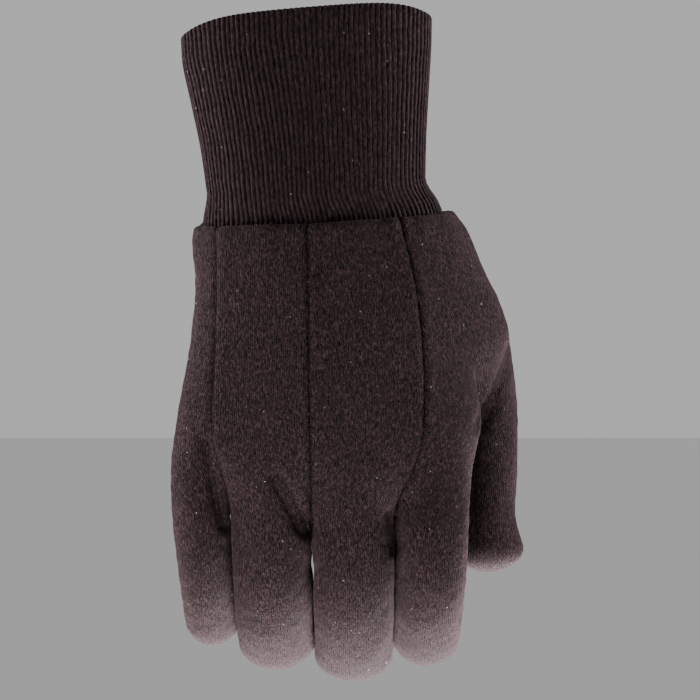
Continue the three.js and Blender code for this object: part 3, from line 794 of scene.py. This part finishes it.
def cuff_section(down):
    """Section of the cuff: its own table, easing at the hand seam into the hand's section
    less the cloth's wall and the tuck's gap."""
    top = hand_section(np.zeros_like(down), "thumb")
    inset = JERSEY_WALL + TUCK_GAP + RIB_HEIGHT / 2
    insets = {"little": -inset, "thumb": inset, "back": inset, "palm": inset, "bend": 0}
    sizes = {"little": CUFF_WIDTH, "thumb": CUFF_WIDTH, "back": CUFF_DEPTH, "palm": CUFF_DEPTH}
    lowest = CUFF_SECTIONS["down"][-1]
    own = {"bend": np.zeros_like(down)}
    for name, size in sizes.items():
        own[name] = size * follow(CUFF_SECTIONS, name, np.minimum(down, lowest))
    blend = smoothstep(down, lowest, 1)
    return {name: lerp(own[name], top[name] - insets[name], blend) for name in own}


def rim_height(angle, side):
    """Height of the cuff's mouth: tilted by the cosine, and arched over the back and the palm
    by what a power of the cosine leaves."""
    across = np.cos(angle)
    back_rise = RIM_BACK_RISE * (1 - np.abs(across) ** RIM_BACK_POWER)
    palm_rise = RIM_PALM_RISE * (1 - np.abs(across) ** RIM_PALM_POWER)
    return RIM_LEVEL + RIM_TILT * across + np.where(side > 0, back_rise, palm_rise)


def side_and_angle(turn):
    """A turn round the whole cuff as its side and the angle on it, up to half a turn."""
    on_back = turn <= math.pi
    return np.where(on_back, BACK, PALM), np.where(on_back, turn, 2 * math.pi - turn)


def cuff_oval(section, turn):
    """Point on the cuff's oval at a turn round the whole of it."""
    side, angle = side_and_angle(turn)
    return oval_point(section, angle, side)


def even_turns(section, count):
    """Turns round one section at equal lengths along it, worked out from a fine polygon."""
    fine = np.linspace(0, 2 * math.pi, FINE_POINTS)
    x, y = cuff_oval(section, fine)
    length = np.concatenate([[0], np.cumsum(np.hypot(np.diff(x), np.diff(y)))])
    return np.interp(np.arange(count) / count * length[-1], length, fine)


def cuff_arrays(rib_count):
    """The cuff's closed surface. Rows run up the outside from the tucked end, over the rolled
    rim along a half circle and down the inside. Each point is the section's, moved outward by
    the rib's height: a rounded crest, 1 less a power of the distance from the rib's middle,
    between two narrow grooves, drifting a little sideways up the cuff."""
    outer, rolled, inner = CUFF_ROWS
    count = rib_count * RIB_POINTS
    downs = np.concatenate([
        np.linspace(TUCKED_END, RIM_SHARE, outer),
        np.full(rolled, RIM_SHARE),
        np.linspace(RIM_SHARE, TUCKED_END, inner),
    ])
    roll = np.linspace(0, math.pi, rolled + 2)[1:-1]
    roll = np.concatenate([np.zeros(outer), roll, np.full(inner, math.pi)])
    ribbing = [np.ones(outer), np.linspace(*ROLL_RIBS, rolled), np.full(inner, INSIDE_RIBS)]
    rib = np.arange(count) / RIB_POINTS
    bias = np.random.default_rng(RIB_SEED).normal(0, RIB_SPREAD, rib_count)[rib.astype(int)]
    rows, cloth, grooves = [], [], []
    for down, turned, share in zip(downs, roll, np.concatenate(ribbing)):
        sizes = cuff_section(np.array([min(down, 1)]))
        section = {name: values[0] for name, values in sizes.items()}
        turn = even_turns(section, count)
        x, y = cuff_oval(section, turn)
        side, angle = side_and_angle(turn)
        seam = seam_height(angle, side)
        tucked = seam - TUCK_LENGTH * (down - 1)
        z = tucked if down > 1 else lerp(rim_height(angle, side), seam, down)
        tangent_x = np.roll(x, -2) - np.roll(x, 2)
        tangent_y = np.roll(y, -2) - np.roll(y, 2)
        size = np.hypot(tangent_x, tangent_y)
        base = np.stack([x, y, z], axis=1)
        drift = sum(uneven(base, *noise) for noise in RIB_DRIFTS)
        crest = 1 - (np.abs((rib + drift) % 1 - 0.5) * 2) ** CREST_POWER
        slack = uneven(base, *CUFF_SLACK) * lerp(RIM_SLACK, 1, min(down, 1)) * (down < 1)
        offset = RIB_HEIGHT * share * (crest * (1 + bias) - 0.5) + slack
        offset -= RIB_WALL / 2 * (1 - math.cos(turned))
        lift = RIB_WALL / 2 * math.sin(turned) + RIM_SCALLOP * crest * (down < SCALLOP_SHARE)
        rows.append(base + np.stack([-tangent_y / size * offset, tangent_x / size * offset, lift], axis=1))
        cloth.append(np.stack([(rib + drift) * RIB_PITCH, -z], axis=1))
        # Shadow painted in the grooves between the ribs, laid over the cloth by the material
        grooves.append(np.clip(GROOVE_SHADOW[0] - GROOVE_SHADOW[1] * crest, 0, 1))
    here = np.array(cloth)
    beside = np.roll(here, -1, axis=1)
    beside[:, -1, 0] += rib_count * RIB_PITCH
    above, above_beside = np.roll(here, -1, axis=0), np.roll(beside, -1, axis=0)
    cloth_uv = np.stack([here, above, above_beside, beside], axis=2).reshape(-1, 4, 2)
    a = np.arange(len(rows) * count).reshape(len(rows), count)
    b = np.roll(a, -1, axis=1)
    faces = np.stack([a, np.roll(a, -1, axis=0), np.roll(b, -1, axis=0), b], axis=-1).reshape(-1, 4)
    points = np.concatenate(rows)
    return points, faces, np.zeros(len(faces), bool), cloth_uv, np.concatenate(grooves)


# Materials

# Columns of loops, on cloth coordinates in millimetres: scale of the noise that makes them
# wander, scale and detail of the one that lifts single loops, how steep the V of a loop is, how
# far its legs lie from the middle as a share of the column, how low a leg dips between courses,
# the ridge heights from dark to light, and the stretch and scale of the streaks
WANDER_SCALE = 0.16
LOOP_NOISE = (0.9, 2)
VEE_SLOPE = 1.4
LEG_PLACE = 0.13
LEG_DIP = 0.48
PORE_RANGE = (-0.05, 0.62)
STREAK_STRETCH = 0.22
STREAK_SCALE = 1.7
# Fibre on Object coordinates in metres: the nap's scale, and its squeeze down the hand so that
# it looks combed, the patches' scale, the scale and the length of the bends in the specks of
# lint, the specks' scale, their edge as distances in a cell, and how rare they are
NAP_SCALE = 1500
NAP_COMBED = (1, 1, 0.45)
PATCH_SCALE = 60
LINT_BEND_SCALE = 900
LINT_BEND = 0.0009
LINT_SCALE = 300
LINT_EDGE = (0.11, 0.05)
LINT_RARE = (0.72, 1.1)
LINT_SHARE = 0.5
# Tones of the cotton: the painted shade's, laid between the loops and as the painted shadow of the
# seams and the rib's grooves, and the faded cloth's as shares of the loop's, the fibre's by red,
# green and blue, and the lint's own colour
PAINTED_SHADE_TONE = 0.04
FADED_TONE = 1.3
FIBRE_TONE = (4.3, 3.75, 3.85)
LINT_COLOUR = (0.46, 0.42, 0.40)
# The range that most of a noise lies in. The ranges for the streaks, the worn loops, the nap,
# the patches and the roughness, with what the worn loops and the roughness turn into, and the
# share of each tone that is laid over the cloth, the painted shadow of the seams and the rib's
# grooves among them
NOISE_RANGE = (0.3, 0.7)
STREAK_RANGE = (0.40, 0.64)
WORN_RANGE = (0.32, 0.56, 0.4, 1.0)
NAP_RANGE = (0.50, 0.63)
PATCH_RANGE = (0.35, 0.65)
ROUGHNESS_RANGE = (*NOISE_RANGE, 0.88, 1.0)
STREAK_SHARE = 0.36
NAP_SHARE = 0.85
PATCH_SHARE = 0.14
PAINTED_SHADOW_SHARE = 0.5
# Relief of the knit in metres, its strength and how much of it the streaks give, how far the
# thumb panel's columns of loops lean, how far columns and ribs wander as a share of their
# width, and the ribs' own rows in millimetres
JERSEY_RELIEF = 0.00012
RIB_RELIEF = 0.00018
RELIEF_STRENGTH = 0.9
STREAK_RELIEF = 1.5
THUMB_SLANT = 0.5
JERSEY_WANDER = 0.28
RIB_WANDER = 0.03
RIB_COURSE = 1.0
# The cloth's faint sheen and gloss, the same all over
SURFACE = {
    "Sheen Weight": 0.03,
    "Sheen Roughness": 0.35,
    "Sheen Tint": (0.86, 0.56, 0.62, 1),
    "Specular IOR Level": 0.04,
}


def new_group(name, inputs, outputs):
    """An empty node group with named sockets: (name, kind, default) in and (name, kind) out."""
    group = bpy.data.node_groups.new(name, "ShaderNodeTree")
    for socket, kind, default in inputs:
        made = group.interface.new_socket(socket, in_out="INPUT", socket_type=f"NodeSocket{kind}")
        if default is not None:
            made.default_value = default
    for socket, kind in outputs:
        group.interface.new_socket(socket, in_out="OUTPUT", socket_type=f"NodeSocket{kind}")
    return group, group.nodes.new("NodeGroupInput").outputs, group.nodes.new("NodeGroupOutput").inputs


def feed(tree, sockets, values):
    """Gives each socket its value, or a link where the value is another node's output."""
    for socket, value in zip(sockets, values):
        if isinstance(value, bpy.types.NodeSocket):
            tree.links.new(value, socket)
        else:
            socket.default_value = value


def math_node(tree, operation, *values, clamp=False):
    """Output of a Math node on numbers or other nodes' outputs."""
    node = tree.nodes.new("ShaderNodeMath")
    node.operation = operation
    node.use_clamp = clamp
    feed(tree, node.inputs, values)
    return node.outputs[0]


def vector_node(tree, operation, *values):
    """Output of a Vector Math node on vectors or other nodes' outputs."""
    node = tree.nodes.new("ShaderNodeVectorMath")
    node.operation = operation
    feed(tree, node.inputs, values)
    return node.outputs[0]


def noise_node(tree, vector, scale, detail=2.0, roughness=0.5, output="Fac"):
    """Output of a Noise Texture at a vector."""
    node = tree.nodes.new("ShaderNodeTexNoise")
    sockets = [node.inputs[name] for name in ("Vector", "Scale", "Detail", "Roughness")]
    feed(tree, sockets, (vector, scale, detail, roughness))
    return node.outputs[output]


def spread(tree, value, low, high, to_low=0.0, to_high=1.0):
    """A value between low and high, spread evenly over another range and held inside it."""
    node = tree.nodes.new("ShaderNodeMapRange")
    feed(tree, node.inputs, (value, low, high, to_low, to_high))
    return node.outputs["Result"]


def mix_colour(tree, factor, first, second):
    """The colour at a factor of the way from the first to the second."""
    node = tree.nodes.new("ShaderNodeMix")
    node.data_type = "RGBA"
    feed(tree, [node.inputs[name] for name in ("Factor", "A", "B")], (factor, first, second))
    return node.outputs["Result"]


def knit_loops_group():
    """Plain knitting: each wale is a column of V-shaped loops. The height is a ridge along each
    leg of the V, a cosine across the wale, dipping between courses by a sine along it. The
    shade falls to nothing in the pores between the wales. Each wale wanders a little to the
    side, and each loop is a little higher or lower than the next."""
    tree, given, made = new_group(
        "knit_loops",
        [
            ("Cloth", "Vector", None),
            ("Wale", "Float", 0.9),
            ("Course", "Float", 0.75),
            ("Slant", "Float", 0.0),
            ("Wander", "Float", 0.2),
        ],
        [("Height", "Float"), ("Shade", "Float"), ("Streak", "Float")],
    )
    cloth = given["Cloth"]
    apart = tree.nodes.new("ShaderNodeSeparateXYZ")
    feed(tree, apart.inputs, (cloth,))
    x, y = apart.outputs["X"], apart.outputs["Y"]
    drift = spread(tree, noise_node(tree, cloth, WANDER_SCALE, 3, 0.6), *NOISE_RANGE, -1, 1)
    wobble = math_node(tree, "MULTIPLY", drift, given["Wander"])
    across = math_node(tree, "ADD", x, math_node(tree, "MULTIPLY", y, given["Slant"]))
    wales = math_node(tree, "ADD", math_node(tree, "DIVIDE", across, given["Wale"]), wobble)
    away = math_node(tree, "ABSOLUTE", math_node(tree, "SUBTRACT", math_node(tree, "FRACT", wales), 0.5))
    courses = math_node(tree, "DIVIDE", y, given["Course"])
    lifted = spread(tree, noise_node(tree, cloth, *LOOP_NOISE), *NOISE_RANGE, -0.5, 0.5)
    vee = math_node(tree, "MULTIPLY", away, VEE_SLOPE)
    stepped = math_node(tree, "ADD", math_node(tree, "ADD", courses, lifted), vee)
    loop = math_node(tree, "SINE", math_node(tree, "MULTIPLY", stepped, 2 * math.pi))
    off_leg = math_node(tree, "SUBTRACT", away, LEG_PLACE)
    leg = math_node(tree, "COSINE", math_node(tree, "MULTIPLY", off_leg, 2 * math.pi))
    ridge = math_node(tree, "MULTIPLY", leg, spread(tree, loop, -1, 1, LEG_DIP, 1.0))
    drawn = tree.nodes.new("ShaderNodeCombineXYZ")
    feed(tree, drawn.inputs, (across, math_node(tree, "MULTIPLY", y, STREAK_STRETCH)))
    streak = noise_node(tree, drawn.outputs[0], STREAK_SCALE, 2, 0.7)
    tree.links.new(ridge, made["Height"])
    tree.links.new(spread(tree, ridge, *PORE_RANGE), made["Shade"])
    tree.links.new(streak, made["Streak"])
    return tree


def brushed_fibre_group():
    """Brushed cotton fibre: a fine nap combed down the hand, soft patches of colour, and rare
    pale specks of lint where a cell's middle is near and its own colour is bright enough."""
    tree, given, made = new_group(
        "brushed_fibre",
        [("Place", "Vector", None), ("Nap Scale", "Float", NAP_SCALE), ("Lint", "Float", LINT_SHARE)],
        [("Nap", "Float"), ("Patch", "Float"), ("Lint Mask", "Float")],
    )
    place = given["Place"]
    combed = vector_node(tree, "MULTIPLY", place, NAP_COMBED)
    tree.links.new(noise_node(tree, combed, given["Nap Scale"], 4, 0.65), made["Nap"])
    tree.links.new(noise_node(tree, place, PATCH_SCALE, 4, 0.6), made["Patch"])
    wander = noise_node(tree, place, LINT_BEND_SCALE, output="Color")
    cells = tree.nodes.new("ShaderNodeTexVoronoi")
    cells.inputs["Scale"].default_value = LINT_SCALE
    bent = vector_node(tree, "MULTIPLY_ADD", wander, (LINT_BEND, LINT_BEND, LINT_BEND), place)
    tree.links.new(bent, cells.inputs["Vector"])
    near = spread(tree, cells.outputs["Distance"], *LINT_EDGE)
    picked = tree.nodes.new("ShaderNodeSeparateColor")
    tree.links.new(cells.outputs["Color"], picked.inputs[0])
    speck = math_node(tree, "MULTIPLY", near, spread(tree, picked.outputs[0], *LINT_RARE))
    tree.links.new(math_node(tree, "MULTIPLY", speck, given["Lint"], clamp=True), made["Lint Mask"])
    return tree


def place_group(tree, name, make, values):
    """Outputs of a shared node group, made once, with its own values in this place."""
    node = tree.nodes.new("ShaderNodeGroup")
    node.node_tree = bpy.data.node_groups.get(name) or make()
    feed(tree, [node.inputs[socket] for socket in values], values.values())
    return node.outputs


def knit_material(name, colours, wale, course, relief, slant=0.0, wander=JERSEY_WANDER):
    """Knitted cotton: painted shade between the loops, lighter on their crowns, with nap and lint."""
    material = bpy.data.materials.new(name)
    material.use_nodes = True
    tree = material.node_tree
    shader = tree.nodes["Principled BSDF"]
    cloth = tree.nodes.new("ShaderNodeUVMap")
    cloth.uv_map = "cloth"
    size = {"Wale": wale, "Course": course, "Slant": slant, "Wander": wander}
    loops = place_group(tree, "knit_loops", knit_loops_group, {"Cloth": cloth.outputs["UV"], **size})
    place = tree.nodes.new("ShaderNodeTexCoord").outputs["Object"]
    nap = {"Place": place, "Nap Scale": NAP_SCALE, "Lint": LINT_SHARE}
    fibre = place_group(tree, "brushed_fibre", brushed_fibre_group, nap)
    # The seam attribute holds the shadow painted along the jersey's seams and in the cuff's rib grooves
    seam = tree.nodes.new("ShaderNodeAttribute")
    seam.attribute_name = "seam"
    # The crowns of the loops are lit and the pores between them get painted shade; the streaks dim the
    # crowns
    worn = spread(tree, loops["Streak"], *WORN_RANGE)
    lit = math_node(tree, "MULTIPLY", loops["Shade"], worn)
    colour = mix_colour(tree, lit, colours["groove"], colours["loop"])
    layers = (
        (spread(tree, loops["Streak"], *STREAK_RANGE), STREAK_SHARE, "fibre"),
        (spread(tree, fibre["Nap"], *NAP_RANGE), NAP_SHARE, "fibre"),
        (spread(tree, fibre["Patch"], *PATCH_RANGE), PATCH_SHARE, "faded"),
        (seam.outputs["Fac"], PAINTED_SHADOW_SHARE, "groove"),
        (fibre["Lint Mask"], 1.0, "lint"),
    )
    for mask, share, tone in layers:
        colour = mix_colour(tree, math_node(tree, "MULTIPLY", mask, share), colour, colours[tone])
    tree.links.new(colour, shader.inputs["Base Color"])
    tree.links.new(spread(tree, fibre["Nap"], *ROUGHNESS_RANGE), shader.inputs["Roughness"])
    raised = math_node(tree, "MULTIPLY", loops["Streak"], STREAK_RELIEF)
    soft = math_node(tree, "ADD", fibre["Nap"], raised)
    bump = tree.nodes.new("ShaderNodeBump")
    bump.inputs["Distance"].default_value = relief
    bump.inputs["Strength"].default_value = RELIEF_STRENGTH
    tree.links.new(math_node(tree, "ADD", loops["Height"], soft), bump.inputs["Height"])
    tree.links.new(bump.outputs["Normal"], shader.inputs["Normal"])
    for socket, value in SURFACE.items():
        shader.inputs[socket].default_value = value
    return material


def cotton_colours(cotton):
    """Tones of one dyed cotton and of the shade painted on it, all but the lint's from the loop's colour.
    """
    loop = np.array(cotton)
    tones = {
        "loop": loop,
        "groove": loop * PAINTED_SHADE_TONE,
        "fibre": loop * np.array(FIBRE_TONE),
        "faded": loop * FADED_TONE,
        "lint": LINT_COLOUR,
    }
    return {name: (*tone, 1) for name, tone in tones.items()}


# Settings, operators and panel

LOOP_SIZE = {"min": 0.0004, "max": 0.002, "precision": 5, "subtype": "DISTANCE", "unit": "LENGTH"}


class GloveSettings(bpy.types.PropertyGroup):
    """The cotton's colour and the sizes of the knit"""

    cotton: bpy.props.FloatVectorProperty(
        name="Cotton",
        description="Colour of the jersey's loops",
        subtype="COLOR",
        size=3,
        min=0,
        max=1,
        default=(0.0081, 0.0053, 0.0056),
    )
    ribs: bpy.props.IntProperty(
        name="Ribs",
        description="Ribs round the knit wrist",
        default=112,
        min=40,
        max=160,
    )
    wale: bpy.props.FloatProperty(
        name="Wale",
        description="Width of one column of jersey loops",
        default=0.00088,
        **LOOP_SIZE,
    )
    course: bpy.props.FloatProperty(
        name="Course",
        description="Height of one row of jersey loops",
        default=0.0008,
        **LOOP_SIZE,
    )


class GLOVE_OT_knit_wrist(bpy.types.Operator):
    """Makes the ribbed cuff"""

    bl_idname = "glove.knit_wrist"
    bl_label = "Knit wrist"

    def execute(self, context):
        settings = context.scene.glove
        arrays = cuff_arrays(settings.ribs)
        colours = cotton_colours(settings.cotton)
        loop_size = (RIB_PITCH, RIB_COURSE)
        material = knit_material("rib_knit_cotton", colours, *loop_size, RIB_RELIEF, wander=RIB_WANDER)
        # The cuff's grooves get their painted shadow through the piece's seam attribute
        piece = make_piece("ribbed_wrist", *arrays, material, "rib_knit")
        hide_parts("knit_wrist")
        return {"FINISHED"}


PALM_NODES = ("palm_panel", "front_index", "front_middle", "front_ring", "front_little")
PANELS = {
    "palm": (PALM_NODES, [(column, PALM) for column in (1, 2, 3, 4)]),
    "thumb_front": (("thumb_panel",), [(0, PALM)]),
    "index_back": (("back_index", "back_thumb"), [(0, BACK), (1, BACK)]),
    "middle_back": (("back_middle",), [(2, BACK)]),
    "ring_back": (("back_ring",), [(3, BACK)]),
    "little_back": (("back_little",), [(4, BACK)]),
}


class GLOVE_OT_jersey_panels(bpy.types.Operator):
    """Makes the jersey panels of the palm, the thumb and the back"""

    bl_idname = "glove.jersey_panels"
    bl_label = "Jersey panels"

    def execute(self, context):
        settings = context.scene.glove
        colours = cotton_colours(settings.cotton)
        loop_size = (settings.wale / MM, settings.course / MM)
        straight = knit_material("jersey_cotton", colours, *loop_size, JERSEY_RELIEF)
        slanted = knit_material("jersey_cotton_thumb", colours, *loop_size, JERSEY_RELIEF, THUMB_SLANT)
        cloth = Cloth()
        for name, (nodes, keys) in PANELS.items():
            material = slanted if name == "thumb_front" else straight
            piece = make_piece(name, *cloth.panel(keys), material, "jersey")
            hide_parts(*nodes)
        return {"FINISHED"}


# The camera's frame: millimetres to a pixel of the photograph, its size in pixels, and the
# distance and the sensor's width in millimetres
PHOTO_SCALE = 0.39
PHOTO_SIZE = 700
CAMERA_DISTANCE = 1250
SENSOR = 36
# The floor's drop below the glove and its reach in metres, its colour and roughness, the
# studio's colour and strength, and how far above the lowest point the lights aim at the tips
FLOOR_DROP = 1.0
FLOOR_REACH = 40.0
FLOOR_COLOUR = (0.78, 0.77, 0.76, 1)
FLOOR_ROUGHNESS = 0.9
STUDIO_COLOUR = (0.86, 0.86, 0.87, 1)
STUDIO_STRENGTH = 0.58
TIPS_ABOVE = 0.02
# Soft lights: name, place in metres, what it points at, size in metres and power in watts
LIGHTS = (
    ("front_soft", (-0.13, -0.24, -0.48), "tips", 0.28, 6.1),
    ("low_soft", (0.12, 0.27, -0.85), "tips", 0.35, 94),
    ("thumb_side", (0.95, 0.10, 0.1), "centre", 0.6, 45),
    ("little_side", (-0.95, 0.16, 0.2), "centre", 0.6, 50),
    ("palm_side", (-0.35, 1.0, 0.35), "centre", 0.6, 3),
)


def area_light(name, place, target, size, power):
    """A square lamp that the camera doesn't see, turned toward its target."""
    light = bpy.data.lights.new(name, "AREA")
    light.size = size
    light.energy = power
    lamp = bpy.data.objects.new(name, light)
    lamp.location = place
    lamp.rotation_euler = (target - lamp.location).to_track_quat("-Z", "Y").to_euler()
    lamp.visible_camera = False
    bpy.context.scene.collection.objects.link(lamp)


class GLOVE_OT_stage(bpy.types.Operator):
    """Sets the floor, the light and the camera"""

    bl_idname = "glove.stage"
    bl_label = "Stage"

    def execute(self, context):
        scene = context.scene
        low, high = (np.array(corner) for corner in MODEL_BOX)
        middle = (low + high) / 2
        floor_mesh = bpy.data.meshes.new("floor")
        signs = np.array([(-1, -1), (1, -1), (1, 1), (-1, 1)])
        corners = np.column_stack([signs * FLOOR_REACH, np.full(4, low[2] - FLOOR_DROP)])
        floor_mesh.from_pydata(corners.tolist(), [], [(0, 1, 2, 3)])
        floor = bpy.data.objects.new("floor", floor_mesh)
        scene.collection.objects.link(floor)
        pale = bpy.data.materials.new("pale_floor")
        pale.use_nodes = True
        shader = pale.node_tree.nodes["Principled BSDF"]
        shader.inputs["Base Color"].default_value = FLOOR_COLOUR
        shader.inputs["Roughness"].default_value = FLOOR_ROUGHNESS
        floor_mesh.materials.append(pale)
        world = bpy.data.worlds.new("studio")
        world.use_nodes = True
        background = world.node_tree.nodes["Background"]
        background.inputs["Color"].default_value = STUDIO_COLOUR
        background.inputs["Strength"].default_value = STUDIO_STRENGTH
        scene.world = world
        targets = {"centre": Vector(middle), "tips": Vector((middle[0], middle[1], low[2] + TIPS_ABOVE))}
        for name, place, target, size, power in LIGHTS:
            area_light(name, Vector(place), targets[target], size, power)
        camera = bpy.data.cameras.new("camera")
        camera.sensor_width = SENSOR
        camera.lens = SENSOR * CAMERA_DISTANCE / (PHOTO_SCALE * PHOTO_SIZE)
        seat = bpy.data.objects.new("camera", camera)
        seat.location = (middle[0], middle[1] - CAMERA_DISTANCE * MM, middle[2])
        seat.rotation_euler = (math.pi / 2, 0, 0)
        scene.collection.objects.link(seat)
        scene.camera = seat
        return {"FINISHED"}


class GLOVE_PT_panel(bpy.types.Panel):
    bl_label = "Cotton work glove"
    bl_idname = "GLOVE_PT_panel"
    bl_space_type = "VIEW_3D"
    bl_region_type = "UI"
    bl_category = "Glove"

    def draw(self, context):
        settings = context.scene.glove
        for name in ("cotton", "ribs", "wale", "course"):
            self.layout.prop(settings, name)
        for operator in OPERATORS:
            self.layout.operator(operator.bl_idname)


OPERATORS = (GLOVE_OT_knit_wrist, GLOVE_OT_jersey_panels, GLOVE_OT_stage)
CLASSES = (GloveSettings, *OPERATORS, GLOVE_PT_panel)


def register():
    for cls in CLASSES:
        bpy.utils.register_class(cls)
    bpy.types.Scene.glove = bpy.props.PointerProperty(type=GloveSettings)


def unregister():
    del bpy.types.Scene.glove
    for cls in reversed(CLASSES):
        bpy.utils.unregister_class(cls)


def main():
    register()
    bpy.ops.glove.knit_wrist()
    bpy.ops.glove.jersey_panels()
    bpy.ops.glove.stage()


if __name__ == "__main__":
    main()
